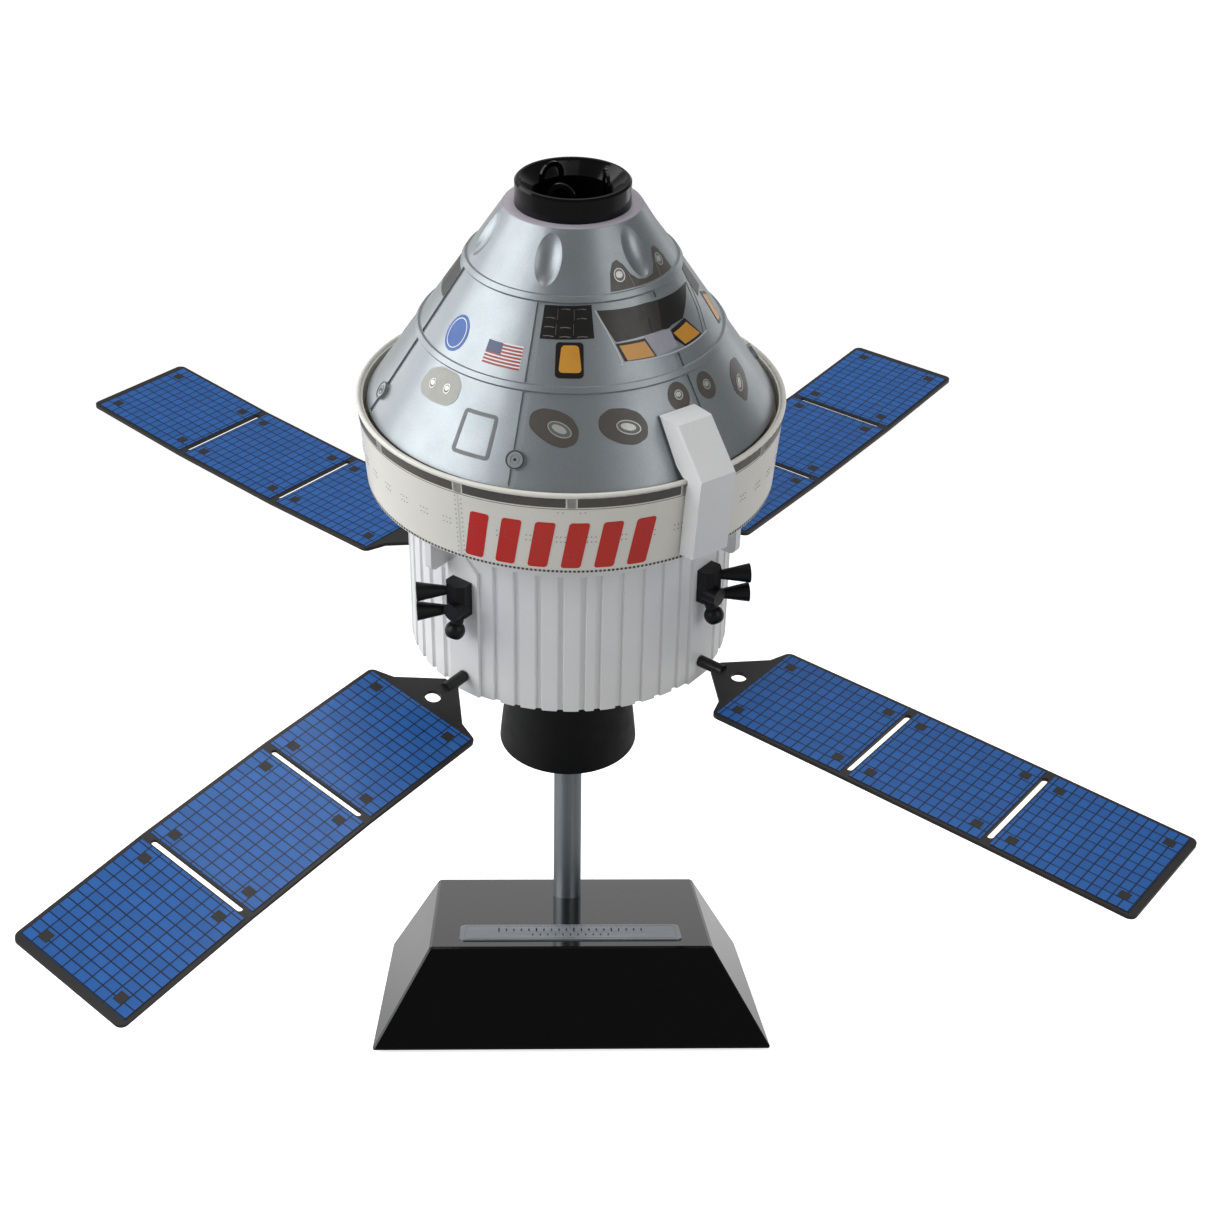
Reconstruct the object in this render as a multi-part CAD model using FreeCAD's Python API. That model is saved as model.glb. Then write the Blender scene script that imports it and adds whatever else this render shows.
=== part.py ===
import FreeCAD, Part
import math
import os

# Desk display model of a crew capsule spacecraft on a lacquered stand, 1/48 scale.
# Stand: felt pad, bevelled block, nameplate and an upright rod that turns in the block.
# Spacecraft: engine nozzle with a sleeve that drops over the rod, ribbed service module,
# adapter ring, cone capsule with docking ring, umbilical housing, four thruster pods and
# four solar arrays that turn on their pins.  Units are millimetres, +Z is up, and the
# origin is the middle of the underside of the stand.

Vector = FreeCAD.Vector
UP = Vector(0, 0, 1)

# ---------------------------------------------------------------- stand
BASE_WIDTH = 102.4
BASE_DEPTH = 95.0
BASE_TOP_WIDTH = 73.6
BASE_TOP_DEPTH = 69.4
BASE_TOP_HEIGHT = 24.2
BASE_EDGE = 0.5
FELT_THICKNESS = 0.8
FELT_INSET = 3.0
PLATE_WIDTH = 58.6
PLATE_DEPTH = 14.0
PLATE_THICKNESS = 0.35
PLATE_CORNER = 1.6
PLATE_CENTRE_Y = -22.0
ROD_DIAMETER = 7.74
ROD_Y = 16.8
ROD_BASE_DEPTH = 15.0
ROD_CLEARANCE = 0.04
ROD_CHAMFER = 0.5

# ---------------------------------------------------------------- how the craft stands
MOUTH_HEIGHT = 65.6          # height at which the rod crosses the plane of the nozzle mouth
MOUTH_OFFSET = 9.0           # the rod crosses that far from the middle of the mouth
TILT = 26.0                  # degrees, craft axis leans towards -Y
TURN = -1.05                 # degrees, craft turned about the rod

# ---------------------------------------------------------------- engine nozzle and sleeve
NOZZLE_LENGTH = 38.9         # mouth to the underside of the service module
NOZZLE_EXIT_R = 19.3
NOZZLE_MID_R = 17.7
NOZZLE_MID_Z = 14.0
NOZZLE_UPPER_R = 15.2
NOZZLE_UPPER_Z = NOZZLE_LENGTH - 10.9
NOZZLE_NECK_R = 12.0
NOZZLE_WALL = 1.3
NOZZLE_CAVITY = 15.0
NOZZLE_CAVITY_EDGE = 3.0     # the cavity's end is that much narrower than the bell inside
NOZZLE_SPIGOT_R = 7.0
SLEEVE_WALL = 1.1
SLEEVE_BORE = 23.0           # depth of the bore that the rod fills
SLEEVE_CAP = 1.2
SLEEVE_END = NOZZLE_LENGTH - 4.2     # distances along the rod from the mouth plane
SLEEVE_START = SLEEVE_END - SLEEVE_CAP - SLEEVE_BORE

# ---------------------------------------------------------------- service module
MODULE_BOTTOM = NOZZLE_LENGTH
MODULE_HEIGHT = 48.7
MODULE_TOP = MODULE_BOTTOM + MODULE_HEIGHT
MODULE_R = 43.1
MODULE_WALL = 2.3
FLOOR_THICKNESS = 2.0
FLOOR_RECESS = 0.6
FLUTE_COUNT = 48
FLUTE_DEPTH = 0.8
FLUTE_TOP_WIDTH = 1.9
FLUTE_BOTTOM_WIDTH = 1.3
FLUTE_TOP = MODULE_TOP - 7.6
SEAM_AZIMUTH = 277.0         # one rib is narrower, where the mould halves meet
SEAM_PITCH = 5.3             # degrees between the grooves on its two sides
STRIP_WIDTH = 9.6
STRIP_FACE = MODULE_R + 0.7  # distance of the flat strip from the craft axis
STRIP_TOP = MODULE_TOP - 7.0
STRIP_CHAMFER = 3.8
STRIP_BACK = 3.0             # the strip and the gusset reach that far into the wall
GUSSET_OFFSET = 5.3
GUSSET_THICKNESS = 2.0
GUSSET_REACH = MODULE_R + 6.4
GUSSET_BOTTOM = MODULE_TOP - 11.1
GUSSET_ROUND = 2.0

# ---------------------------------------------------------------- adapter ring and deck
RING_TOP = MODULE_TOP + 22.4
RING_BOTTOM_R = MODULE_R + 10.0
RING_TOP_R = RING_BOTTOM_R + 1.8
RING_WALL = 1.5
RING_WEB = 2.2
RING_BEAD = 0.7              # radius of the rolled rim
RING_SPIGOT = 3.0
RING_SPIGOT_WALL = 1.6
RING_LEDGE = 1.6
RING_LEDGE_DEPTH = 3.0
DECK_TOP = RING_TOP - 4.0
DECK_THICKNESS = 2.0
FIT_GAP = 0.05               # radial gap between pieces that are glued or screwed together

# ---------------------------------------------------------------- capsule
CONE_BASE_R = RING_TOP_R - RING_WALL - 1.1
CONE_BASE_Z = DECK_TOP + 3.5
CONE_LIP_R = CONE_BASE_R - 0.9
CONE_WALL = 1.8
CONE_TOP_Z = CONE_BASE_Z + 51.8
CONE_TOP_R = 17.2
SHIELD_R = CONE_BASE_R - 1.7
SHIELD_THICKNESS = 1.8
SHIELD_CHAMFER = (1.2, 0.8)  # radial and upright size
BELT_Z = CONE_BASE_Z + 20.1      # middle of the raised ring between lower and middle section
COLLAR_Z = CONE_BASE_Z + 37.9    # middle of the raised ring between middle and top section
COLLAR_HEIGHT = 2.1              # along the side, for both rings
COLLAR_PROUD = 0.55
COLLAR_EDGE = 0.35               # the sloping edges of a ring take up that much
FEATURE_COUNT = 6
FEATURE_AZIMUTH = 14.0       # first dimple and first channel, then every sixth of a turn
STUD_AZIMUTH = 15.0          # first of the three studs inside the cone
DIMPLE_Z = CONE_TOP_Z - 6.2
DIMPLE_LENGTH = 12.8
DIMPLE_WIDTH = 7.0
DIMPLE_DEPTH = 1.5
CHANNEL_WIDTH = 1.9
CHANNEL_DEPTH = 0.45
CHANNEL_UPPER = (BELT_Z + 0.95, COLLAR_Z - 0.95)
WINDOW_CHANNEL = 5               # this channel is left out where the front windows are
WINDOW_LOW = CONE_BASE_Z + 23.9
WINDOW_HIGH = CONE_BASE_Z + 35.7
CHANNEL_LOWER = (CONE_BASE_Z + 0.6, BELT_Z - 0.95)
BOSS_R = 2.35
BOSS_HEIGHT = 0.75
BOSS_Z = CONE_BASE_Z + 5.7
STUD_R = 3.2
STUD_CIRCLE = CONE_BASE_R - 20.3
STUD_COUNT = 3
STUD_HEIGHT = 9.0
STUD_WEB = 1.6
STUD_WEB_INSET = 0.8         # the web ends that far inside the capsule's outside

# ---------------------------------------------------------------- docking ring
DOCK_R = CONE_TOP_R - 2.85
DOCK_TOP = CONE_TOP_Z + 6.1
DOCK_EDGE = 0.5
DOCK_LIP = 1.2
DOCK_WELL_R = DOCK_R - 4.95
DOCK_FUNNEL_Z = DOCK_TOP - 3.1
DOCK_SPIGOT_R = DOCK_R - 1.95
DOCK_SPIGOT = 6.0
HATCH_THICKNESS = 1.2
PETAL_COUNT = 3
PETAL_AZIMUTH = 10.0
PETAL_RADIUS = DOCK_WELL_R - 0.85
PETAL_WIDTH = 7.4
PETAL_THICKNESS = 0.7
PETAL_BAR = 1.2
PETAL_TOP = DOCK_TOP + 1.6

# ---------------------------------------------------------------- umbilical housing
HOUSING_AZIMUTH = 305.3
HOUSING_WIDTH = 10.6
HOUSING_PROUD = 5.3
HOUSING_BOTTOM = RING_TOP - 20.8
HOUSING_KNEE = RING_TOP + 2.4
HOUSING_SHOULDER = RING_TOP + 9.8
HOUSING_TIP = RING_TOP + 13.2
HOUSING_GAP = 0.05
HOUSING_EDGE = 0.5

# ---------------------------------------------------------------- thruster pods
POD_WIDTH = 6.2
POD_FACE = STRIP_FACE + 4.3
POD_BOTTOM = MODULE_TOP - 23.2
POD_TOP = POD_BOTTOM + 9.4
POD_CHAMFER = 1.5
POD_PEG_R = 1.5
POD_BOSS_R = 2.45
POD_BOSS_FACE = STRIP_FACE + 5.8
POD_BOSS_Z = POD_BOTTOM + 2.5
POD_BOSS_SHIFT = 1.0
CONE_ANGLE = 45.0            # side nozzles splay that far from the radial direction
CONE_HEIGHTS = (POD_BOTTOM + 1.1, POD_BOTTOM + 6.9)
CONE_THROAT_R = 1.2
CONE_MOUTH_R = 2.55
CONE_LENGTH = 7.6
CONE_BORE = 0.55             # wall of the nozzle at its mouth
CONE_BORE_DEPTH = 4.5
BALL_R = 2.6
BALL_FACE = STRIP_FACE + 4.4
BALL_Z = POD_BOTTOM - 3.5
BALL_NECK_R = 1.75
BALL_NECK_START = STRIP_FACE + 2.2
BALL_CUT = 2.0

# ---------------------------------------------------------------- solar arrays
PIN_Z = MODULE_BOTTOM + 6.3
PIN_R = 1.6
PIN_STUB_R = 1.2
PIN_CLEARANCE = 0.05
PIN_SEAT = STRIP_FACE + 0.3  # distance from the craft axis to the shoulder of the pin
PIN_INNER = MODULE_R - 7.6
PIN_OUTER = STRIP_FACE + 7.6
BOSS_TUBE_R = 2.4
BOSS_TUBE_INNER = MODULE_R - 6.6
PLATE_ROOT = PIN_OUTER - 2.5
PLATE_INNER = PLATE_ROOT + 10.2
PLATE_LENGTH = 118.6
ARRAY_WIDTH = 35.9
ARRAY_THICKNESS = 1.0
ARRAY_CORNER = 2.0
YOKE_ROOT_HALF = 2.2
YOKE_HALF = 11.8
YOKE_END = PLATE_ROOT + 9.4
YOKE_HOLE_R = 2.1
YOKE_HOLE_AT = PLATE_ROOT + 7.4
SLOT_AT = (PLATE_INNER + 40.0, PLATE_INNER + 79.3)
SLOT_MARGIN = 3.95           # from the end of a slot to the plate's long edge
SLOT_R = 0.85
CELL_THICKNESS = 0.15
CELL_MARGIN = 1.0            # dark border along the long edges of the plate
CELL_END = 1.9               # dark border at the inner and outer end
CELL_SLOT_GAP = 1.35         # from the middle of a slot to the cells beside it
# name: azimuth of the pin, droop of the pin, roll of the plate on the pin (degrees), and
# the warp, as the rise of the plate 100 mm out from its inner edge
ARRAYS = {
    "back_right": (51.6, 0.6, 0.0, 3.5),
    "back_left": (140.0, 0.1, 0.7, 4.2),
    "front_left": (231.5, 1.4, -11.0, -5.5),
    "front_right": (321.7, 1.3, -0.6, -0.9),
}

# ---------------------------------------------------------------- screws
SCREW_R = 1.25
SCREW_HEAD_R = 2.6
SCREW_HEAD = 1.6
SCREW_LENGTH = 8.0
NOZZLE_SCREW_LENGTH = 5.0
SCREW_SLOT = 0.5
MODULE_SCREW_CIRCLE = MODULE_R - 6.1
MODULE_SCREW_COUNT = 4
LUG_R = 2.6
LUG_WEB = 3.0
LUG_HEIGHT = 12.0
FLOOR_LEDGE = 2.0


# ================================================================ helpers
def fan(azimuth):
    """Unit vector that points outwards at an azimuth, in the level plane."""
    angle = math.radians(azimuth)
    return Vector(math.cos(angle), math.sin(angle), 0)


def cylinder(radius, height, base=Vector(0, 0, 0), direction=UP):
    return Part.makeCylinder(radius, height, base, direction)


def frustum(radius_start, radius_end, start, end):
    """Straight cone between two points."""
    direction = end - start
    return Part.makeCone(radius_start, radius_end, direction.Length, start, direction)


def polygon_face(points):
    return Part.Face(Part.makePolygon(list(points) + [points[0]]))


def turned(profile):
    """Solid of revolution about Z from (radius, height) points."""
    face = polygon_face([Vector(radius, 0, height) for radius, height in profile])
    return face.revolve(Vector(0, 0, 0), UP, 360)


def prism(points, bottom, top):
    """Straight prism from (x, y) points."""
    face = polygon_face([Vector(x, y, bottom) for x, y in points])
    return face.extrude(Vector(0, 0, top - bottom))


def spun(shape, azimuth):
    """Copy turned about the craft axis."""
    copy = shape.copy()
    copy.rotate(Vector(0, 0, 0), UP, azimuth)
    return copy


def around(shape, count, first):
    """Copies of a shape, evenly spaced about the craft axis."""
    return [spun(shape, first + 360.0 * index / count) for index in range(count)]


def joined(shapes):
    return shapes[0].fuse(shapes[1:]).removeSplitter()


def cone_radius(height):
    """Radius of the straight side of the capsule at a height."""
    share = (height - CONE_BASE_Z) / (CONE_TOP_Z - CONE_BASE_Z)
    return CONE_BASE_R + share * (CONE_TOP_R - CONE_BASE_R)


def ring_radius(height):
    """Outer radius of the conical adapter ring at a height."""
    share = (height - MODULE_TOP) / (RING_TOP - MODULE_TOP)
    return RING_BOTTOM_R + share * (RING_TOP_R - RING_BOTTOM_R)


CONE_SLOPE = Vector(CONE_TOP_R - CONE_BASE_R, 0, CONE_TOP_Z - CONE_BASE_Z).normalize()
CONE_NORMAL = Vector(CONE_SLOPE.z, 0, -CONE_SLOPE.x)


def cone_point(height, proud=0.0):
    """Point in the XZ plane on the capsule side, or proud of it."""
    return Vector(cone_radius(height), 0, height) + CONE_NORMAL * proud


def craft_placement():
    """Puts the craft's own frame, with its origin in the mouth, on the rod."""
    seat = FreeCAD.Placement(Vector(0, MOUTH_OFFSET, 0), FreeCAD.Rotation())
    tilt = FreeCAD.Placement(Vector(0, 0, 0), FreeCAD.Rotation(Vector(1, 0, 0), TILT))
    turn = FreeCAD.Placement(Vector(0, ROD_Y, MOUTH_HEIGHT), FreeCAD.Rotation(UP, TURN))
    return turn.multiply(tilt).multiply(seat)


ON_ROD = craft_placement()


def rod_line():
    """The rod's line seen from the craft's own frame: mouth crossing and direction."""
    return (Vector(0, -MOUTH_OFFSET, 0),
            Vector(0, math.sin(math.radians(TILT)), math.cos(math.radians(TILT))))


# ================================================================ stand
def base_block():
    """Bevelled block with a blind hole for the rod."""
    lower = [Vector(x * BASE_WIDTH / 2, y * BASE_DEPTH / 2, FELT_THICKNESS)
             for x, y in ((-1, -1), (1, -1), (1, 1), (-1, 1))]
    upper = [Vector(x * BASE_TOP_WIDTH / 2, y * BASE_TOP_DEPTH / 2, BASE_TOP_HEIGHT)
             for x, y in ((-1, -1), (1, -1), (1, 1), (-1, 1))]
    wires = [Part.makePolygon(ring + [ring[0]]) for ring in (lower, upper)]
    block = Part.makeLoft(wires, True, True)
    block = block.makeChamfer(BASE_EDGE, block.Edges)
    hole = cylinder(ROD_DIAMETER / 2 + ROD_CLEARANCE, ROD_BASE_DEPTH + 1,
                    Vector(0, ROD_Y, BASE_TOP_HEIGHT - ROD_BASE_DEPTH))
    return block.cut(hole)


def base_felt():
    """Thin pad glued under the block."""
    width = BASE_WIDTH - 2 * FELT_INSET
    depth = BASE_DEPTH - 2 * FELT_INSET
    pad = Part.makeBox(width, depth, FELT_THICKNESS, Vector(-width / 2, -depth / 2, 0))
    return pad.makeFillet(FELT_INSET, [e for e in pad.Edges if e.Vertexes[0].Z != e.Vertexes[1].Z])


def nameplate():
    """Thin plate with rounded corners, glued to the top of the block."""
    plate = Part.makeBox(PLATE_WIDTH, PLATE_DEPTH, PLATE_THICKNESS,
                         Vector(-PLATE_WIDTH / 2, PLATE_CENTRE_Y - PLATE_DEPTH / 2, BASE_TOP_HEIGHT))
    upright = [e for e in plate.Edges if e.Vertexes[0].Z != e.Vertexes[1].Z]
    return plate.makeFillet(PLATE_CORNER, upright)


def display_rod():
    """Upright rod; its foot stands in the block and its head fills the sleeve's bore."""
    foot = BASE_TOP_HEIGHT - ROD_BASE_DEPTH
    head = MOUTH_HEIGHT + SLEEVE_START + SLEEVE_BORE
    rod = cylinder(ROD_DIAMETER / 2, head - foot, Vector(0, ROD_Y, foot))
    ends = [edge for edge in rod.Edges if len(edge.Vertexes) == 1]
    return rod.makeChamfer(ROD_CHAMFER, ends)


# ================================================================ engine nozzle
def sleeve_outline(gap=0.0):
    """Outside of the sleeve as a solid, in the craft's frame."""
    start, line = rod_line()
    return cylinder(ROD_DIAMETER / 2 + ROD_CLEARANCE + SLEEVE_WALL + gap,
                    SLEEVE_BORE + SLEEVE_CAP, start + line * SLEEVE_START, line)


def rod_sleeve():
    """Brass cup in the nozzle that the rod goes into."""
    start, line = rod_line()
    bore = cylinder(ROD_DIAMETER / 2 + ROD_CLEARANCE, SLEEVE_BORE, start + line * SLEEVE_START, line)
    return sleeve_outline().cut(bore)


def engine_nozzle():
    """Bell with an open mouth, a solid throat round the sleeve and a spigot in the floor."""
    floor_bottom = MODULE_BOTTOM + FLOOR_RECESS
    spigot_top = floor_bottom + FLOOR_THICKNESS
    exit_rim = Vector(NOZZLE_EXIT_R, 0, 0)
    waist = Vector(NOZZLE_UPPER_R, 0, NOZZLE_UPPER_Z)
    neck = Vector(NOZZLE_NECK_R, 0, floor_bottom)
    corners = [neck, Vector(NOZZLE_SPIGOT_R, 0, floor_bottom), Vector(NOZZLE_SPIGOT_R, 0, spigot_top),
               Vector(0, 0, spigot_top), Vector(0, 0, 0), exit_rim]
    edges = [Part.Arc(exit_rim, Vector(NOZZLE_MID_R, 0, NOZZLE_MID_Z), waist).toShape()]
    edges.append(Part.LineSegment(waist, neck).toShape())
    edges += [Part.LineSegment(a, b).toShape() for a, b in zip(corners, corners[1:])]
    outside = Part.Face(Part.Wire(edges)).revolve(Vector(0, 0, 0), UP, 360)
    mid_inside = NOZZLE_MID_R - NOZZLE_WALL
    slope = (NOZZLE_MID_R - NOZZLE_EXIT_R) / NOZZLE_MID_Z
    cavity = [(0, -1), (NOZZLE_EXIT_R - NOZZLE_WALL - slope, -1), (mid_inside, NOZZLE_MID_Z),
              (mid_inside - NOZZLE_CAVITY_EDGE, NOZZLE_CAVITY), (0, NOZZLE_CAVITY)]
    pilot = cylinder(SCREW_R, NOZZLE_SCREW_LENGTH, Vector(0, 0, spigot_top - NOZZLE_SCREW_LENGTH))
    bell = outside.cut(turned(cavity))
    return bell.cut(sleeve_outline(FIT_GAP)).cut(pilot)


def pan_screw(head_seat, direction, length=SCREW_LENGTH):
    """Slotted pan head screw; the head stands on head_seat, the shank goes along direction."""
    head = cylinder(SCREW_HEAD_R, SCREW_HEAD, head_seat, direction * -1)
    shank = cylinder(SCREW_R, length, head_seat, direction)
    slot = Part.makeBox(2 * SCREW_HEAD_R, 2 * SCREW_SLOT, 2 * SCREW_SLOT,
                        Vector(-SCREW_HEAD_R, -SCREW_SLOT, -SCREW_SLOT))
    slot.translate(head_seat - direction * SCREW_HEAD)
    return head.fuse(shank).removeSplitter().cut(slot)


def nozzle_screw():
    """Holds the nozzle against the module floor, from inside."""
    top = MODULE_BOTTOM + FLOOR_RECESS + FLOOR_THICKNESS
    return pan_screw(Vector(0, 0, top), Vector(0, 0, -1), NOZZLE_SCREW_LENGTH)


# ================================================================ service module
def flute_angles():
    """Azimuths of the grooves, left out where a flat strip is."""
    pitch = (360.0 - SEAM_PITCH) / (FLUTE_COUNT - 1)
    strip_half = math.degrees(math.asin(STRIP_WIDTH / 2 / MODULE_R))
    groove_half = math.degrees(FLUTE_TOP_WIDTH / 2 / MODULE_R)
    angles = [SEAM_AZIMUTH + SEAM_PITCH / 2 + pitch * index for index in range(FLUTE_COUNT)]
    clear = []
    for angle in angles:
        away = min(abs((angle - seat[0] + 180) % 360 - 180) for seat in ARRAYS.values())
        if away > strip_half + groove_half:
            clear.append(angle)
    return clear


def flute_cutter(azimuth):
    """Shallow groove with sloping sides, from below the module up to the plain collar."""
    outer = MODULE_R + 0.5
    inner = MODULE_R - FLUTE_DEPTH
    points = [(inner, -FLUTE_BOTTOM_WIDTH / 2), (outer, -FLUTE_TOP_WIDTH / 2 - 0.2),
              (outer, FLUTE_TOP_WIDTH / 2 + 0.2), (inner, FLUTE_BOTTOM_WIDTH / 2)]
    return spun(prism(points, MODULE_BOTTOM - 1, FLUTE_TOP), azimuth)


def strip(azimuth):
    """Flat strip that a pod and an array pin sit on, with two chamfered top corners."""
    half = STRIP_WIDTH / 2
    outline = [Vector(MODULE_R - STRIP_BACK, y, z) for y, z in (
        (-half, MODULE_BOTTOM), (half, MODULE_BOTTOM), (half, STRIP_TOP - STRIP_CHAMFER),
        (half - STRIP_CHAMFER, STRIP_TOP), (STRIP_CHAMFER - half, STRIP_TOP),
        (-half, STRIP_TOP - STRIP_CHAMFER))]
    bar = polygon_face(outline).extrude(Vector(STRIP_FACE - MODULE_R + STRIP_BACK, 0, 0))
    return spun(bar, azimuth)


def gusset(azimuth, side):
    """Small web under the overhang of the adapter ring, beside a strip."""
    start = side * GUSSET_OFFSET - (GUSSET_THICKNESS if side < 0 else 0)
    box = Part.makeBox(GUSSET_REACH - MODULE_R + STRIP_BACK, GUSSET_THICKNESS,
                       MODULE_TOP - GUSSET_BOTTOM,
                       Vector(MODULE_R - STRIP_BACK, start, GUSSET_BOTTOM))
    corner = [e for e in box.Edges
              if all(abs(v.X - GUSSET_REACH) < 1e-6 and abs(v.Z - GUSSET_BOTTOM) < 1e-6 for v in e.Vertexes)]
    return spun(box.makeFillet(GUSSET_ROUND, corner), azimuth)


def pod_side(name):
    """Side nozzles point away from the front and back middle of the craft."""
    return -1 if name in ("front_left", "back_right") else 1


def array_line(name):
    """Start and direction of an array pin's axis, in the craft's frame."""
    azimuth, droop = ARRAYS[name][:2]
    level = fan(azimuth)
    direction = level * math.cos(math.radians(droop)) - UP * math.sin(math.radians(droop))
    return Vector(0, 0, PIN_Z), direction


def module_inner_r():
    return MODULE_R - MODULE_WALL


def service_module():
    """Ribbed tube with strips, gussets, pin bosses, screw lugs and a ledge for the floor."""
    shell = cylinder(MODULE_R, MODULE_TOP - MODULE_BOTTOM, Vector(0, 0, MODULE_BOTTOM))
    shell = shell.cut(Part.makeCompound([flute_cutter(angle) for angle in flute_angles()]))
    additions = []
    for name, (azimuth, *rest) in ARRAYS.items():
        additions += [strip(azimuth), gusset(azimuth, pod_side(name))]
    shell = joined([shell] + additions)
    inner = module_inner_r()
    shell = shell.cut(cylinder(inner, MODULE_TOP - MODULE_BOTTOM + 2, Vector(0, 0, MODULE_BOTTOM - 1)))
    ledge_bottom = MODULE_BOTTOM + FLOOR_RECESS + FLOOR_THICKNESS
    ledge = [(inner - FLOOR_LEDGE, ledge_bottom + FLOOR_LEDGE), (inner - FLOOR_LEDGE, ledge_bottom),
             (inner + 0.5, ledge_bottom), (inner + 0.5, ledge_bottom + 2 * FLOOR_LEDGE)]
    inside = [turned(ledge)]
    lug_bottom = MODULE_TOP - RING_SPIGOT - LUG_HEIGHT
    lug = cylinder(LUG_R, LUG_HEIGHT, Vector(MODULE_SCREW_CIRCLE, 0, lug_bottom))
    web = Part.makeBox(inner + 0.5 - MODULE_SCREW_CIRCLE, LUG_WEB, LUG_HEIGHT,
                       Vector(MODULE_SCREW_CIRCLE, -LUG_WEB / 2, lug_bottom))
    inside += around(joined([lug, web]), MODULE_SCREW_COUNT, ARRAYS["back_right"][0] - 45)
    for name in ARRAYS:
        start, direction = array_line(name)
        inside.append(cylinder(BOSS_TUBE_R, inner + 0.5 - BOSS_TUBE_INNER,
                               start + direction * BOSS_TUBE_INNER, direction))
    shell = joined([shell] + inside)
    for name in ARRAYS:
        start, direction = array_line(name)
        shell = shell.cut(cylinder(PIN_STUB_R + PIN_CLEARANCE, 20,
                                   start + direction * (PIN_INNER - 1), direction))
        shell = shell.cut(spun(cylinder(POD_PEG_R + FIT_GAP, 10,
                                        Vector(inner - 1, 0, (POD_TOP + POD_BOTTOM) / 2),
                                        Vector(1, 0, 0)), ARRAYS[name][0]))
    for pilot in around(cylinder(SCREW_R, SCREW_LENGTH + 1,
                                 Vector(MODULE_SCREW_CIRCLE, 0, lug_bottom + LUG_HEIGHT - SCREW_LENGTH)),
                        MODULE_SCREW_COUNT, ARRAYS["back_right"][0] - 45):
        shell = shell.cut(pilot)
    return shell


def module_floor():
    """Disc that closes the module from below and takes the nozzle's spigot."""
    bottom = MODULE_BOTTOM + FLOOR_RECESS
    disc = cylinder(module_inner_r() - FIT_GAP, FLOOR_THICKNESS, Vector(0, 0, bottom))
    return disc.cut(cylinder(NOZZLE_SPIGOT_R + FIT_GAP, 10, Vector(0, 0, bottom - 1)))


# ================================================================ adapter ring and deck
def ring_inner(height):
    return ring_radius(height) - RING_WALL


def adapter_ring():
    """Conical band with a rolled rim, a web on the module and a ledge for the deck."""
    web_top = MODULE_TOP + RING_WEB
    spigot_r = module_inner_r() - FIT_GAP
    spigot_bottom = MODULE_TOP - RING_SPIGOT
    ledge_top = DECK_TOP - DECK_THICKNESS
    ledge_bottom = ledge_top - RING_LEDGE_DEPTH
    ledge_r = ring_inner(ledge_top) - RING_LEDGE
    profile = [(spigot_r - RING_SPIGOT_WALL, spigot_bottom), (spigot_r, spigot_bottom),
               (spigot_r, MODULE_TOP), (RING_BOTTOM_R, MODULE_TOP), (RING_TOP_R, RING_TOP),
               (ring_inner(RING_TOP), RING_TOP), (ring_inner(ledge_top), ledge_top),
               (ledge_r, ledge_top), (ring_inner(ledge_bottom), ledge_bottom),
               (ring_inner(web_top), web_top), (spigot_r - RING_SPIGOT_WALL, web_top)]
    band = turned(profile)
    bead = Part.makeTorus(RING_TOP_R - RING_BEAD / 2, RING_BEAD, Vector(0, 0, RING_TOP))
    band = joined([band, bead])
    tab = cylinder(SCREW_HEAD_R + 1, RING_SPIGOT, Vector(MODULE_SCREW_CIRCLE, 0, spigot_bottom))
    tab = tab.common(cylinder(spigot_r, 200))
    hole = cylinder(SCREW_R + FIT_GAP, 20, Vector(MODULE_SCREW_CIRCLE, 0, spigot_bottom - 5))
    room = cylinder(SCREW_HEAD_R + 0.4, 20, Vector(MODULE_SCREW_CIRCLE, 0, MODULE_TOP))
    first = ARRAYS["back_right"][0] - 45
    band = joined([band] + around(tab, MODULE_SCREW_COUNT, first))
    for tool in around(hole, MODULE_SCREW_COUNT, first) + around(room, MODULE_SCREW_COUNT, first):
        band = band.cut(tool)
    return band


def module_screws():
    """Screws through the ring's tabs into the module's lugs."""
    screw = pan_screw(Vector(MODULE_SCREW_CIRCLE, 0, MODULE_TOP), Vector(0, 0, -1))
    return around(screw, MODULE_SCREW_COUNT, ARRAYS["back_right"][0] - 45)


def adapter_deck():
    """Disc on the ring's ledge; its edge shows between the rim and the capsule."""
    bottom = DECK_TOP - DECK_THICKNESS
    disc = cylinder(ring_inner(bottom) - FIT_GAP, DECK_THICKNESS, Vector(0, 0, bottom))
    for tool in around(cylinder(SCREW_R + FIT_GAP, 10, Vector(STUD_CIRCLE, 0, bottom - 1)),
                       STUD_COUNT, STUD_AZIMUTH):
        disc = disc.cut(tool)
    return disc


def deck_screws():
    """Screws from below through deck and heat shield into the capsule's studs."""
    screw = pan_screw(Vector(STUD_CIRCLE, 0, DECK_TOP - DECK_THICKNESS), UP)
    return around(screw, STUD_COUNT, STUD_AZIMUTH)


# ================================================================ capsule
def heat_shield():
    """Disc that closes the capsule from below."""
    top = DECK_TOP + SHIELD_THICKNESS
    inset, rise = SHIELD_CHAMFER
    shield = turned([(0, DECK_TOP), (SHIELD_R - inset, DECK_TOP), (SHIELD_R, DECK_TOP + rise),
                     (SHIELD_R, top), (0, top)])
    for tool in around(cylinder(SCREW_R + FIT_GAP, 10, Vector(STUD_CIRCLE, 0, DECK_TOP - 1)),
                       STUD_COUNT, STUD_AZIMUTH):
        shield = shield.cut(tool)
    return shield


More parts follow.
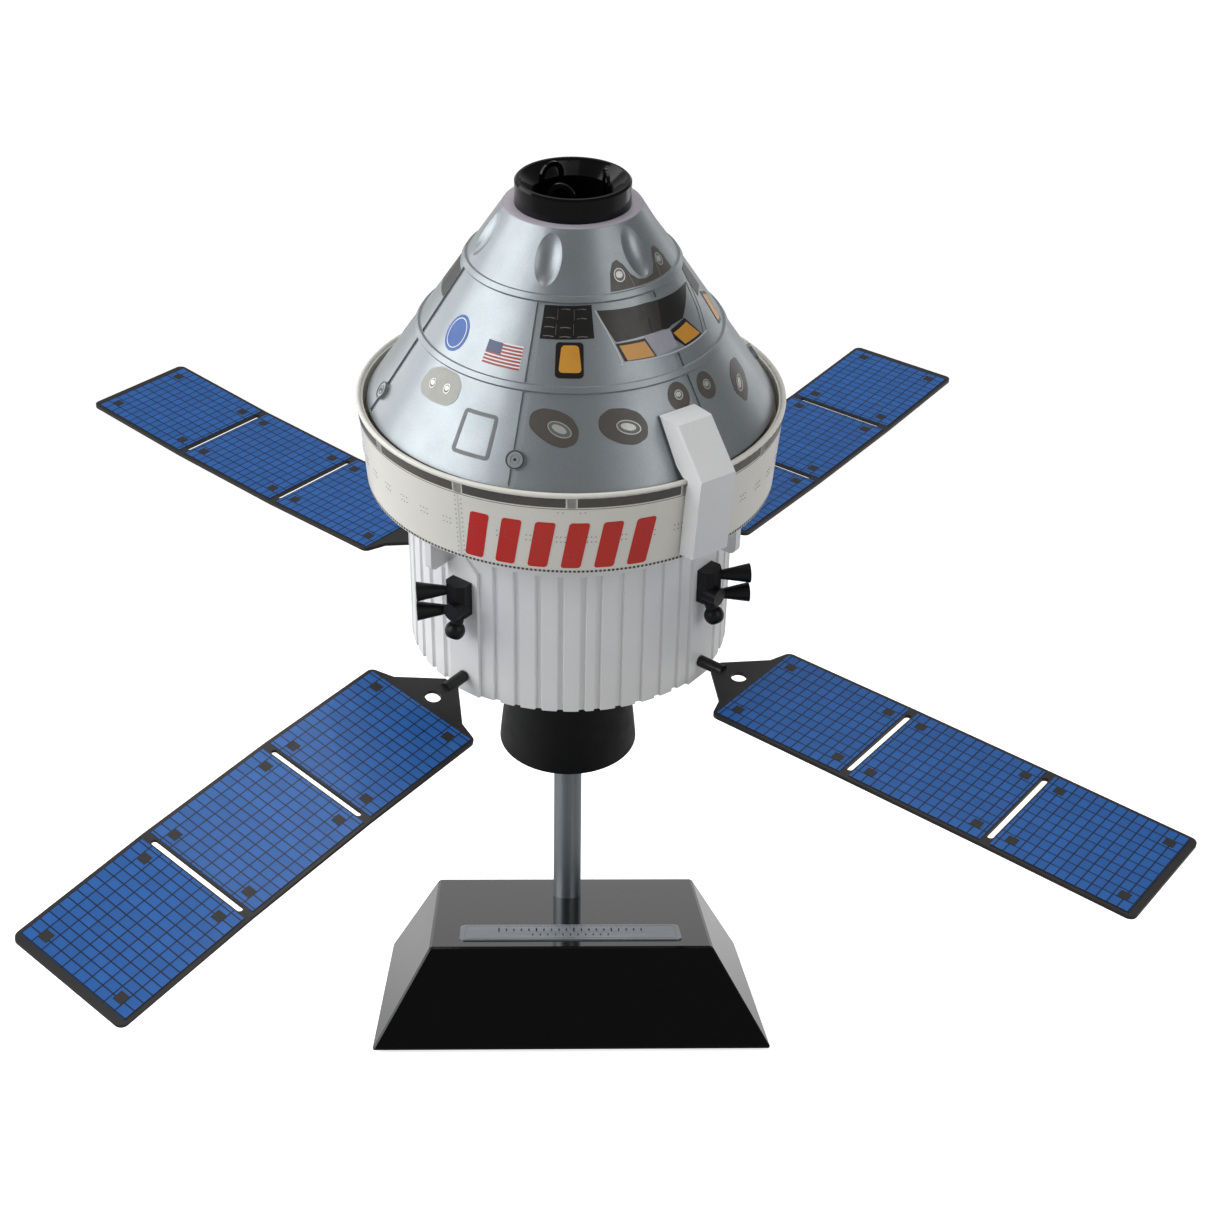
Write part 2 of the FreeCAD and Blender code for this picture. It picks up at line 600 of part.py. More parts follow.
def raised_ring(height):
    """Ring with sloping edges that stands proud of the capsule side."""
    foot = CONE_SLOPE * (COLLAR_HEIGHT / 2)
    crest = CONE_SLOPE * (COLLAR_HEIGHT / 2 - COLLAR_EDGE)
    corners = [cone_point(height, -1) - foot, cone_point(height) - foot,
               cone_point(height, COLLAR_PROUD) - crest, cone_point(height, COLLAR_PROUD) + crest,
               cone_point(height) + foot, cone_point(height, -1) + foot]
    return turned([(point.x, point.z) for point in corners])


def dimple_cutter():
    """Long oval hollow in the top section, sunk along the side's normal."""
    width = DIMPLE_WIDTH / 2
    ball_r = (width ** 2 + DIMPLE_DEPTH ** 2) / (2 * DIMPLE_DEPTH)
    ball = Part.makeSphere(ball_r)
    stretch = FreeCAD.Matrix()
    stretch.scale(1, 1, DIMPLE_LENGTH / DIMPLE_WIDTH)
    oval = ball.transformGeometry(stretch)
    lean = math.degrees(math.atan2(CONE_SLOPE.x, CONE_SLOPE.z))
    oval.rotate(Vector(0, 0, 0), Vector(0, 1, 0), lean)
    oval.translate(cone_point(DIMPLE_Z, ball_r - DIMPLE_DEPTH))
    return oval


def capsule_channel(limits):
    """Cutter for a shallow channel up the capsule side between two heights."""
    low, high = (cone_point(height, -CHANNEL_DEPTH) for height in limits)
    rise = CONE_NORMAL * (1 + CHANNEL_DEPTH)
    face = polygon_face([low, high, high + rise, low + rise])
    bar = face.extrude(Vector(0, CHANNEL_WIDTH, 0))
    bar.translate(Vector(0, -CHANNEL_WIDTH / 2, 0))
    return bar


def capsule_boss():
    """Round boss over the lower end of a channel."""
    return cylinder(BOSS_R, 1 + BOSS_HEIGHT, cone_point(BOSS_Z, -1), CONE_NORMAL)


def capsule_shell():
    """Cone with two raised rings, channels, bosses and dimples, and studs inside."""
    shield_top = DECK_TOP + SHIELD_THICKNESS
    lip = (CONE_LIP_R, shield_top)
    outside = [(0, shield_top), lip, (CONE_BASE_R, CONE_BASE_Z), (CONE_TOP_R, CONE_TOP_Z),
               (0, CONE_TOP_Z)]
    solid = turned(outside)
    solid = joined([solid, raised_ring(BELT_Z), raised_ring(COLLAR_Z)])
    channels = around(capsule_channel(CHANNEL_UPPER), FEATURE_COUNT, FEATURE_AZIMUTH)
    window_azimuth = FEATURE_AZIMUTH + 360.0 * WINDOW_CHANNEL / FEATURE_COUNT
    channels[WINDOW_CHANNEL] = spun(capsule_channel((CHANNEL_UPPER[0], WINDOW_LOW)), window_azimuth)
    channels.append(spun(capsule_channel((WINDOW_HIGH, CHANNEL_UPPER[1])), window_azimuth))
    channels += around(capsule_channel(CHANNEL_LOWER), FEATURE_COUNT, FEATURE_AZIMUTH)
    for channel in channels:
        solid = solid.cut(channel)
    solid = joined([solid] + around(capsule_boss(), FEATURE_COUNT, FEATURE_AZIMUTH))
    level_wall = CONE_WALL / CONE_NORMAL.x
    inside_top = CONE_TOP_Z - CONE_WALL
    hollow = turned([(0, shield_top - 1), (CONE_LIP_R - level_wall, shield_top - 1),
                     (CONE_BASE_R - level_wall, CONE_BASE_Z),
                     (cone_radius(inside_top) - level_wall, inside_top), (0, inside_top)])
    solid = solid.cut(hollow)
    solid = solid.cut(cylinder(DOCK_SPIGOT_R + FIT_GAP, 20, Vector(0, 0, CONE_TOP_Z - 10)))
    for cutter in around(dimple_cutter(), FEATURE_COUNT, FEATURE_AZIMUTH):
        solid = solid.cut(cutter)
    stud = cylinder(STUD_R, STUD_HEIGHT, Vector(STUD_CIRCLE, 0, shield_top))
    web = Part.makeBox(CONE_BASE_R - CONE_WALL - STUD_CIRCLE, STUD_WEB, STUD_HEIGHT,
                       Vector(STUD_CIRCLE, -STUD_WEB / 2, shield_top))
    web_limit = [(0, shield_top), (CONE_LIP_R - STUD_WEB_INSET, shield_top),
                 (CONE_BASE_R - STUD_WEB_INSET, CONE_BASE_Z), (CONE_TOP_R, CONE_TOP_Z), (0, CONE_TOP_Z)]
    web = web.common(turned(web_limit))
    studs = around(joined([stud, web]), STUD_COUNT, STUD_AZIMUTH)
    solid = joined([solid] + studs)
    for tool in around(cylinder(SCREW_R, SCREW_LENGTH + 1, Vector(STUD_CIRCLE, 0, shield_top - 1)),
                       STUD_COUNT, STUD_AZIMUTH):
        solid = solid.cut(tool)
    return solid


# ================================================================ docking ring
def docking_ring():
    """Black ring on the capsule with a funnel, a well and a spigot in the cone's top."""
    foot = CONE_TOP_Z - DOCK_SPIGOT
    profile = [(DOCK_WELL_R, foot), (DOCK_SPIGOT_R, foot), (DOCK_SPIGOT_R, CONE_TOP_Z),
               (DOCK_R, CONE_TOP_Z), (DOCK_R, DOCK_TOP - DOCK_EDGE), (DOCK_R - DOCK_EDGE, DOCK_TOP),
               (DOCK_R - DOCK_LIP, DOCK_TOP), (DOCK_R - DOCK_LIP - DOCK_EDGE, DOCK_TOP - DOCK_EDGE),
               (DOCK_WELL_R, DOCK_FUNNEL_Z)]
    return turned(profile)


def docking_hatch():
    """Disc that closes the well from below, with a low round handle boss."""
    foot = CONE_TOP_Z - DOCK_SPIGOT
    disc = cylinder(DOCK_SPIGOT_R, HATCH_THICKNESS, Vector(0, 0, foot - HATCH_THICKNESS))
    knob = cylinder(DOCK_WELL_R / 3, HATCH_THICKNESS, Vector(0, 0, foot - HATCH_THICKNESS / 2))
    return joined([disc, knob])


def docking_petals():
    """Three upright arches round the well."""
    foot = CONE_TOP_Z - DOCK_SPIGOT
    arch_r = PETAL_WIDTH / 2
    straight = PETAL_TOP - arch_r - foot
    plate = Part.makeBox(PETAL_THICKNESS, PETAL_WIDTH, straight,
                         Vector(PETAL_RADIUS - PETAL_THICKNESS, -arch_r, foot))
    crown = cylinder(arch_r, PETAL_THICKNESS,
                     Vector(PETAL_RADIUS - PETAL_THICKNESS, 0, foot + straight), Vector(1, 0, 0))
    opening = cylinder(arch_r - PETAL_BAR, PETAL_THICKNESS + 2,
                       Vector(PETAL_RADIUS - PETAL_THICKNESS - 1, 0, foot + straight), Vector(1, 0, 0))
    window = Part.makeBox(PETAL_THICKNESS + 2, PETAL_WIDTH - 2 * PETAL_BAR, straight - 2 * PETAL_BAR,
                          Vector(PETAL_RADIUS - PETAL_THICKNESS - 1, PETAL_BAR - arch_r, foot + 2 * PETAL_BAR))
    petal = joined([plate, crown]).cut(joined([opening, window]))
    petal = petal.common(cylinder(DOCK_WELL_R - FIT_GAP, 300))
    return around(petal, PETAL_COUNT, PETAL_AZIMUTH)


# ================================================================ umbilical housing
def umbilical_housing():
    """Bent box: upright over the adapter ring, leaning in over the capsule side."""
    gap = HOUSING_GAP
    bead_out = RING_TOP_R + RING_BEAD / 2 + gap
    bead_top = RING_TOP + RING_BEAD + gap
    bead_low = RING_TOP - RING_BEAD - gap
    back_low = ring_radius(HOUSING_BOTTOM) + gap
    shoulder = cone_point(HOUSING_SHOULDER, HOUSING_PROUD + 1)
    outline = [(back_low, HOUSING_BOTTOM), (back_low + HOUSING_PROUD, HOUSING_BOTTOM + 1.0),
               (bead_out + HOUSING_PROUD - 0.2, HOUSING_KNEE), (shoulder.x, shoulder.z),
               (cone_radius(HOUSING_TIP) + 0.6, HOUSING_TIP),
               (cone_radius(bead_top + 2) + gap + 0.6, bead_top + 2), (bead_out - 1.9, bead_top),
               (bead_out, bead_top), (bead_out, bead_low), (ring_radius(bead_low) + gap, bead_low)]
    face = polygon_face([Vector(radius, -HOUSING_WIDTH / 2, height) for radius, height in outline])
    box = face.extrude(Vector(0, HOUSING_WIDTH, 0))
    front = [e for e in box.Edges
             if abs(e.Vertexes[0].Y - e.Vertexes[-1].Y) < 1e-6
             and min(v.X - cone_radius(v.Z) for v in e.Vertexes) > HOUSING_PROUD]
    box = box.makeFillet(HOUSING_EDGE, front)
    box = spun(box, HOUSING_AZIMUTH)
    return box.cut(adapter_ring_envelope()).cut(capsule_envelope())


def adapter_ring_envelope():
    """Solid as large as the adapter ring with its rim, plus the gap of a seated piece."""
    gap = HOUSING_GAP
    return turned([(0, MODULE_TOP), (RING_BOTTOM_R + gap, MODULE_TOP),
                   (RING_TOP_R + gap, RING_TOP - RING_BEAD - gap), (RING_TOP_R + RING_BEAD / 2 + gap, RING_TOP),
                   (RING_TOP_R + gap, RING_TOP + RING_BEAD + gap), (0, RING_TOP + RING_BEAD + gap)])


def capsule_envelope():
    """Solid as large as the capsule side, plus the gap of a seated piece."""
    low = cone_point(CONE_BASE_Z, HOUSING_GAP)
    high = cone_point(CONE_TOP_Z, HOUSING_GAP)
    return turned([(0, CONE_BASE_Z - 3), (low.x, CONE_BASE_Z - 3), (low.x, low.z),
                   (high.x, high.z), (0, high.z)])


# ================================================================ thruster pods
def pod_frame(side, shape, azimuth):
    """Mirrors a pod piece for the other side and turns it to its strip."""
    piece = shape.copy()
    if side < 0:
        piece = piece.mirror(Vector(0, 0, 0), Vector(0, 1, 0))
    return spun(piece, azimuth)


def ball_point():
    return Vector(BALL_FACE, -POD_BOSS_SHIFT, BALL_Z)


def pod_body():
    """Chamfered block with peg, round boss and the neck of the lower nozzle."""
    half = POD_WIDTH / 2
    plan = [(STRIP_FACE, -half), (POD_FACE - POD_CHAMFER, -half), (POD_FACE, POD_CHAMFER - half),
            (POD_FACE, half - POD_CHAMFER), (POD_FACE - POD_CHAMFER, half), (STRIP_FACE, half)]
    block = prism(plan, POD_BOTTOM, POD_TOP)
    middle = (POD_BOTTOM + POD_TOP) / 2
    peg = cylinder(POD_PEG_R, STRIP_FACE - module_inner_r() + 1,
                   Vector(module_inner_r(), 0, middle), Vector(1, 0, 0))
    boss = cylinder(POD_BOSS_R, POD_BOSS_FACE - STRIP_FACE - 1,
                    Vector(STRIP_FACE + 1, -POD_BOSS_SHIFT, POD_BOSS_Z), Vector(1, 0, 0))
    neck_start = Vector(BALL_NECK_START, -POD_BOSS_SHIFT, POD_BOSS_Z)
    neck = frustum(BALL_NECK_R, BALL_NECK_R * 0.9, neck_start, ball_point())
    body = joined([block, peg, boss, neck])
    return body.cut(Part.makeSphere(BALL_R, ball_point()))


def nozzle_cone(height):
    """Hollow cone that stands on the pod's splayed chamfer."""
    direction = fan(CONE_ANGLE)
    throat = Vector(POD_FACE - POD_CHAMFER / 2, POD_WIDTH / 2 - POD_CHAMFER / 2, height)
    mouth = throat + direction * CONE_LENGTH
    outer = frustum(CONE_THROAT_R, CONE_MOUTH_R, throat, mouth)
    hollow = frustum(CONE_THROAT_R * 0.5, CONE_MOUTH_R - CONE_BORE, mouth - direction * CONE_BORE_DEPTH, mouth)
    return outer.cut(hollow)


def lower_nozzle():
    """Round nozzle under the boss, cut flat where it opens downwards."""
    middle = ball_point()
    down = Vector(0.5, 0, -1).normalize()
    ball = Part.makeSphere(BALL_R, middle)
    knife = cylinder(2 * BALL_R, BALL_R, middle + down * BALL_CUT, down)
    hollow = frustum(0.4, BALL_R * 0.5, middle, middle + down * (BALL_CUT + 0.01))
    return ball.cut(knife).cut(hollow)


def pod_nozzles():
    return [nozzle_cone(height) for height in CONE_HEIGHTS] + [lower_nozzle()]


# ================================================================ solar arrays
def array_placement(name):
    """From the array's own frame (X along the pin, Z out of the cells) to the craft's."""
    azimuth, droop, roll = ARRAYS[name][:3]
    lift = FreeCAD.Placement(Vector(0, 0, PIN_Z), FreeCAD.Rotation(UP, azimuth))
    pitch = FreeCAD.Placement(Vector(0, 0, 0), FreeCAD.Rotation(Vector(0, 1, 0), droop))
    rolled = FreeCAD.Placement(Vector(0, 0, 0), FreeCAD.Rotation(Vector(1, 0, 0), roll))
    return lift.multiply(pitch).multiply(rolled)


def warp_height(bow, position):
    """Rise of the warped plate at a distance from the craft axis."""
    return bow * (max(position - PLATE_INNER, 0) / 100.0) ** 2


def warped_slab(bow, bottom, top, end):
    """Slab that is flat to the plate's inner edge and then bends at its slots."""
    half = ARRAY_WIDTH
    stations = [PLATE_ROOT, PLATE_INNER] + list(SLOT_AT) + [end]
    lower = [Vector(x, -half, bottom + warp_height(bow, x)) for x in stations]
    upper = [Vector(x, -half, top + warp_height(bow, x)) for x in stations]
    return polygon_face(lower + upper[::-1]).extrude(Vector(0, 2 * half, 0))


def slot_cutter(position, half_length, radius):
    """Upright cutter for a through slot with rounded ends."""
    ends = [cylinder(radius, 80, Vector(position, y, -40)) for y in (-half_length, half_length)]
    middle = Part.makeBox(2 * radius, 2 * half_length, 80, Vector(position - radius, -half_length, -40))
    return joined([middle] + ends)


def array_outline():
    """Upright prism of the plate's outline: tapered yoke, then the panel."""
    half = ARRAY_WIDTH / 2
    shoulder = PLATE_INNER + (half - YOKE_HALF) * 0.2
    tip = PLATE_INNER + PLATE_LENGTH
    points = [(PLATE_ROOT, -YOKE_ROOT_HALF), (YOKE_END, -YOKE_HALF), (shoulder, -half), (tip, -half),
              (tip, half), (shoulder, half), (YOKE_END, YOKE_HALF), (PLATE_ROOT, YOKE_ROOT_HALF)]
    body = prism(points, -40, 40)
    corners = [e for e in body.Edges
               if abs(e.Vertexes[0].Z - e.Vertexes[-1].Z) > 1 and abs(abs(e.Vertexes[0].Y) - half) < 1e-6]
    body = body.makeFillet(ARRAY_CORNER, corners)
    body = body.cut(cylinder(YOKE_HOLE_R, 80, Vector(YOKE_HOLE_AT, 0, -40)))
    for position in SLOT_AT:
        body = body.cut(slot_cutter(position, half - SLOT_MARGIN, SLOT_R))
    return body


def array_plate(name):
    """Warped plate, held in the forked end of its pin."""
    bow = ARRAYS[name][3]
    half = ARRAY_THICKNESS / 2
    end = PLATE_INNER + PLATE_LENGTH + 1
    return warped_slab(bow, -half, half, end).common(array_outline())


def solar_cells(name):
    """Three thin cell areas on the sunny side of the plate."""
    bow = ARRAYS[name][3]
    half = ARRAY_THICKNESS / 2
    tip = PLATE_INNER + PLATE_LENGTH
    limits = [PLATE_INNER + CELL_END]
    for position in SLOT_AT:
        limits += [position - CELL_SLOT_GAP, position + CELL_SLOT_GAP]
    limits.append(tip - CELL_END)
    film = warped_slab(bow, half, half + CELL_THICKNESS, tip + 1)
    width = ARRAY_WIDTH - 2 * CELL_MARGIN
    areas = []
    for start, end in zip(limits[0::2], limits[1::2]):
        areas.append(film.common(Part.makeBox(end - start, width, 80, Vector(start, -width / 2, -40))))
    return areas


def array_pin():
    """Round pin: thin stub in the module's boss, thick part outside with a slot for the plate."""
    stub = cylinder(PIN_STUB_R, PIN_SEAT - PIN_INNER + 1, Vector(PIN_INNER, 0, 0), Vector(1, 0, 0))
    body = cylinder(PIN_R, PIN_OUTER - PIN_SEAT, Vector(PIN_SEAT, 0, 0), Vector(1, 0, 0))
    pin = joined([stub, body])
    half = ARRAY_THICKNESS / 2
    slot = Part.makeBox(10, 4 * PIN_R, ARRAY_THICKNESS, Vector(PLATE_ROOT, -2 * PIN_R, -half))
    return pin.cut(slot)


# ================================================================ output
def placed(shape, placement):
    moved = shape.copy()
    moved.Placement = placement.multiply(moved.Placement)
    return moved


def save(name, shapes):
    """Writes one sub-part; several separate solids go into one file."""
    solids = []
    for shape in (shapes if isinstance(shapes, list) else [shapes]):
        solids += shape.Solids
    for solid in solids:
        if not solid.isValid() or solid.Volume <= 0:
            print("check", name)
    result = solids[0] if len(solids) == 1 else Part.makeCompound(solids)
    result.exportStep("parts/" + name + ".step")
    print("%-26s %2d solid(s) %10.1f mm3" % (name, len(solids), sum(s.Volume for s in solids)))


def save_on_craft(name, shapes):
    pieces = shapes if isinstance(shapes, list) else [shapes]
    save(name, [placed(piece, ON_ROD) for piece in pieces])


os.makedirs("parts", exist_ok=True)

save("stand_base", base_block())
save("base_felt", base_felt())
save("nameplate", nameplate())
save("display_rod", display_rod())

save_on_craft("rod_sleeve", rod_sleeve())
save_on_craft("engine_nozzle", engine_nozzle())
save_on_craft("nozzle_screw", nozzle_screw())
save_on_craft("service_module", service_module())
save_on_craft("module_floor", module_floor())
save_on_craft("adapter_ring", adapter_ring())
save_on_craft("module_screws", module_screws())
save_on_craft("adapter_deck", adapter_deck())
save_on_craft("deck_screws", deck_screws())
save_on_craft("heat_shield", heat_shield())
save_on_craft("capsule_shell", capsule_shell())
save_on_craft("docking_ring", docking_ring())
save_on_craft("docking_hatch", docking_hatch())
save_on_craft("docking_petals", docking_petals())
save_on_craft("umbilical_housing", umbilical_housing())

POD_BODY = pod_body()
POD_NOZZLES = pod_nozzles()
for array_name, (array_azimuth, *others) in ARRAYS.items():
    side = pod_side(array_name)
    save_on_craft("thruster_pod_" + array_name, pod_frame(side, POD_BODY, array_azimuth))
    save_on_craft("pod_nozzles_" + array_name,
                  [pod_frame(side, nozzle, array_azimuth) for nozzle in POD_NOZZLES])
    frame = array_placement(array_name)
    save_on_craft("array_pin_" + array_name, placed(array_pin(), frame))
    save_on_craft("array_plate_" + array_name, placed(array_plate(array_name), frame))
    save_on_craft("solar_cells_" + array_name,
                  [placed(area, frame) for area in solar_cells(array_name)])
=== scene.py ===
import math

import bmesh
import bpy
from mathutils import Euler, Matrix, Vector


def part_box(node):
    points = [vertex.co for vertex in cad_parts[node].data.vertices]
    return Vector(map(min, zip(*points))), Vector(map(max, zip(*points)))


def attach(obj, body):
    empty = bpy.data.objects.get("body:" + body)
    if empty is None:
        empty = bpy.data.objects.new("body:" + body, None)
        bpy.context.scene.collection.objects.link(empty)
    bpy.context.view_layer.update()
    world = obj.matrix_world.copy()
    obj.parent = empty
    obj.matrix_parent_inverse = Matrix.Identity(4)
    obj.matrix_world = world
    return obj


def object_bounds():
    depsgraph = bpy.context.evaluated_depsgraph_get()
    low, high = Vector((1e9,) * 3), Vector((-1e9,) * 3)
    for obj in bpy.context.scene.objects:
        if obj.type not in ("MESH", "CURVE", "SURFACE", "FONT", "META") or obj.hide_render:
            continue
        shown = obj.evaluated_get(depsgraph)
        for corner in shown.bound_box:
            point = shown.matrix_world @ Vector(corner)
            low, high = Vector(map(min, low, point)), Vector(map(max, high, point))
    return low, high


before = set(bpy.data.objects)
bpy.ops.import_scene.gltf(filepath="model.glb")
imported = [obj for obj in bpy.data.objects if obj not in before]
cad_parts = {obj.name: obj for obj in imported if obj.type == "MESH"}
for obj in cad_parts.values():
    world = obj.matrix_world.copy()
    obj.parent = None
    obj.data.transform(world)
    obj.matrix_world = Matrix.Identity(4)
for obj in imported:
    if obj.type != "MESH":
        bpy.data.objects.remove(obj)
cad_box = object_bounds()

# ================================================================ places, in millimetres
MM = 0.001
# the rod's axis, and the nozzle's mouth on it, about which the craft is tilted and turned
ROD_Y = 16.8
MOUTH_HEIGHT = 65.6
MOUTH_OFFSET = 9.0
TILT = 26.0
TURN = -1.05
# straight sides of the craft: radius and height at the foot, then at the head
CONE = (52.3, 109.5, 17.2, 161.3)
BAND = (53.1, 87.6, 54.9, 110.0)
# azimuth and height of the round bosses, and how far they stand out
BOSS_PLACES = [(14 + 60 * index, 115.2) for index in range(6)]
BOSS_PROUD = 0.75
# inner and outer radius of the cone's flat head, which the painted highlight ring covers
HEAD_HIGHLIGHT_RADII = (14.45, 17.1)
# solar arrays: height of the pins, then azimuth, droop and roll in degrees
PIN_HEIGHT = 45.2
ARRAYS = {
    "back_right": (51.6, 0.6, 0.0),
    "back_left": (140.0, 0.1, 0.7),
    "front_left": (231.5, 1.4, -11.0),
    "front_right": (321.7, 1.3, -0.6),
}
# each plate is bent at its slots: where, and how far it has risen 100 mm out
PLATE_BENDS = (59.1, 99.1, 138.4, 177.7)
PLATE_RISES = {"back_right": 3.5, "back_left": 4.2, "front_left": -5.5, "front_right": -0.9}
# the cells' face above the pin's axis
CELL_FACE = 0.65
# films that lie on a surface: how far their faces are from it, and how wide a flat strip may be
FILM_LIFT = 0.06
FILM_SINK = 0.05
FILM_STEP = 1.2
# an oval under this width has few corners
TINY_OVAL = 0.6

CRAFT = (
    Matrix.Translation((0, ROD_Y, MOUTH_HEIGHT))
    @ Matrix.Rotation(math.radians(TURN), 4, "Z")
    @ Matrix.Rotation(math.radians(TILT), 4, "X")
    @ Matrix.Translation((0, MOUTH_OFFSET, 0))
)


def array_matrix(name):
    """From an array's own frame, X along the pin and Z out of the cells, to the object's frame."""
    azimuth, droop, roll = ARRAYS[name]
    return (
        CRAFT
        @ Matrix.Translation((0, 0, PIN_HEIGHT))
        @ Matrix.Rotation(math.radians(azimuth), 4, "Z")
        @ Matrix.Rotation(math.radians(droop), 4, "Y")
        @ Matrix.Rotation(math.radians(roll), 4, "X")
    )


# ================================================================ materials
def linear(code):
    """Linear colour of an sRGB hex code."""
    parts = [int(code[start:start + 2], 16) / 255 for start in (0, 2, 4)]
    return [p / 12.92 if p <= 0.04045 else ((p + 0.055) / 1.055) ** 2.4 for p in parts] + [1.0]


def per(size):
    """Texture scale that gives a pattern of that size in millimetres."""
    return 1 / (size * MM)


def add(tree, kind, values=None, **settings):
    """Adds a node with its settings; a value that is a socket is linked."""
    made = tree.nodes.new(kind)
    for key, value in settings.items():
        setattr(made, key, value)
    for key, value in (values or {}).items():
        if isinstance(value, bpy.types.NodeSocket):
            tree.links.new(value, made.inputs[key])
        else:
            made.inputs[key].default_value = value
    return made


def start(name, **constants):
    """New material with the constants set on its shader's own sockets."""
    material = bpy.data.materials.new(name)
    material.use_nodes = True
    tree = material.node_tree
    shader = next(n for n in tree.nodes if n.type == "BSDF_PRINCIPLED")
    for key, value in constants.items():
        shader.inputs[key.replace("_", " ")].default_value = value
    place = add(tree, "ShaderNodeTexCoord").outputs["Object"]
    return material, tree, shader, place


# Nearly all of a noise's values lie between these two.
NOISE_LOW = 0.3
NOISE_HIGH = 0.7


def mottle(tree, shader, place, light, dark, patch, rough=None, grain=None, depth=0.0):
    """Two close shades, roughness between two values, and a fine bump of a real grain."""
    cloud = add(tree, "ShaderNodeTexNoise", {"Vector": place, "Scale": per(patch), "Detail": 3.0})
    factor = cloud.outputs["Fac"]
    shade = add(tree, "ShaderNodeMix", {0: factor, 6: linear(light), 7: linear(dark)},
                data_type="RGBA")
    tree.links.new(shade.outputs[2], shader.inputs["Base Color"])
    if rough:
        gloss = add(tree, "ShaderNodeMapRange",
                    {0: factor, 1: NOISE_LOW, 2: NOISE_HIGH, 3: rough[0], 4: rough[1]})
        tree.links.new(gloss.outputs[0], shader.inputs["Roughness"])
    if grain:
        fine = add(tree, "ShaderNodeTexNoise",
                   {"Vector": place, "Scale": per(grain), "Detail": 2.0})
        bump = add(tree, "ShaderNodeBump",
                   {"Strength": 1.0, "Distance": depth * MM, "Height": fine.outputs["Fac"]})
        tree.links.new(bump.outputs[0], shader.inputs["Normal"])
    return shade


MATERIALS = {}

# Black lacquer on wood, sprayed and rubbed to a high gloss: deep black, a very slight orange peel
# that only bends the reflections a little.
material, tree, shader, place = start("polished_black_lacquer", IOR=1.37)
mottle(tree, shader, place, "030303", "050404", 9.0, rough=(0.05, 0.09), grain=3.0, depth=0.004)
MATERIALS["base_lacquer"] = material

# Pressed wool felt, die cut: dark, dull, with short fibres.
material, tree, shader, place = start("pressed_wool_felt", Roughness=0.95, Sheen_Weight=0.5)
mottle(tree, shader, place, "1d2420", "101512", 0.8, grain=0.25, depth=0.15)
MATERIALS["base_felt"] = material

# Thin aluminium plate, finely brushed along its length and anodised blue-grey.
material, tree, shader, place = start("brushed_anodised_aluminium", Metallic=0.6, Anisotropic=0.4)
along = add(tree, "ShaderNodeMapping", {"Vector": place, "Scale": (0.04, 1.0, 1.0)}).outputs[0]
mottle(tree, shader, along, "a8adb3", "959ba1", 0.3, rough=(0.34, 0.46), grain=0.2, depth=0.006)
MATERIALS["nameplate"] = material

# Cold drawn aluminium rod with a satin, clear anodised skin: faint lengthwise drawing lines.
material, tree, shader, place = start("drawn_satin_aluminium", Metallic=0.9)
along = add(tree, "ShaderNodeMapping", {"Vector": place, "Scale": (1.0, 1.0, 0.03)}).outputs[0]
mottle(tree, shader, along, "92979b", "7b8084", 0.35, rough=(0.36, 0.48), grain=0.3, depth=0.008)
MATERIALS["rod_metal"] = material

# Turned brass: yellow metal with fine tool rings.
material, tree, shader, place = start("turned_brass", Metallic=1.0)
around = add(tree, "ShaderNodeMapping", {"Vector": place, "Scale": (0.05, 0.05, 1.0)}).outputs[0]
mottle(tree, shader, around, "c9a55a", "b8924a", 0.3, rough=(0.25, 0.36), grain=0.25, depth=0.006)
MATERIALS["sleeve_brass"] = material

# Zinc plated steel screw: grey metal, a little cloudy.
material, tree, shader, place = start("zinc_plated_steel", Metallic=1.0)
mottle(tree, shader, place, "b4b7ba", "969a9f", 0.8, rough=(0.28, 0.42), grain=0.12, depth=0.004)
MATERIALS["screw_steel"] = material

# Black ABS, moulded in a spark eroded tool: matt, with an even fine grain.
material, tree, shader, place = start("matt_moulded_black_abs", IOR=1.32)
mottle(tree, shader, place, "121313", "0e0f0f", 4.0, rough=(0.5, 0.62), grain=0.22, depth=0.012)
MATERIALS["nozzle_black"] = material

# White ABS, injection moulded and satin: clean white with very faint flow clouding.
material, tree, shader, place = start("satin_moulded_white_abs", IOR=1.5)
mottle(tree, shader, place, "efefef", "e6e7e8", 14.0, rough=(0.34, 0.42), grain=0.5, depth=0.006)
MATERIALS["module_white"] = material

# Band in warm white: vinyl sheet, printed and stuck round the ring, with a semi gloss laminate.
material, tree, shader, place = start(
    "printed_white_vinyl", IOR=1.48, Coat_Weight=0.15, Coat_Roughness=0.2
)
mottle(tree, shader, place, "e9e6dd", "e1dfd6", 10.0, rough=(0.32, 0.4), grain=0.4, depth=0.004)
MATERIALS["band_white"] = material

# Deck and inside in tan paint, sprayed on moulded ABS.
material, tree, shader, place = start("sprayed_tan_paint", IOR=1.48)
mottle(tree, shader, place, "a5967f", "94866f", 5.0, rough=(0.5, 0.6), grain=0.3, depth=0.01)
MATERIALS["deck_tan"] = material

# Silver paint on the capsule: fine aluminium flakes under a satin clear coat. The flakes are
# 0.05 mm in the real paint; they are drawn at 0.25 mm so that they still sparkle a little.
material, tree, shader, place = start(
    "sprayed_silver_flake_paint", Metallic=0.75, Coat_Weight=0.3, Coat_Roughness=0.18
)
shade = mottle(tree, shader, place, "9aa0a3", "92989c", 8.0, rough=(0.38, 0.44))
flakes = add(tree, "ShaderNodeTexVoronoi", {"Vector": place, "Scale": per(0.25)})
glint = add(tree, "ShaderNodeMix", {0: 0.1, 6: shade.outputs[2], 7: flakes.outputs["Color"]},
            data_type="RGBA", blend_type="SOFT_LIGHT")
tree.links.new(glint.outputs[2], shader.inputs["Base Color"])
tilt = add(tree, "ShaderNodeBump",
           {"Strength": 0.6, "Distance": 0.004 * MM, "Height": flakes.outputs["Distance"]})
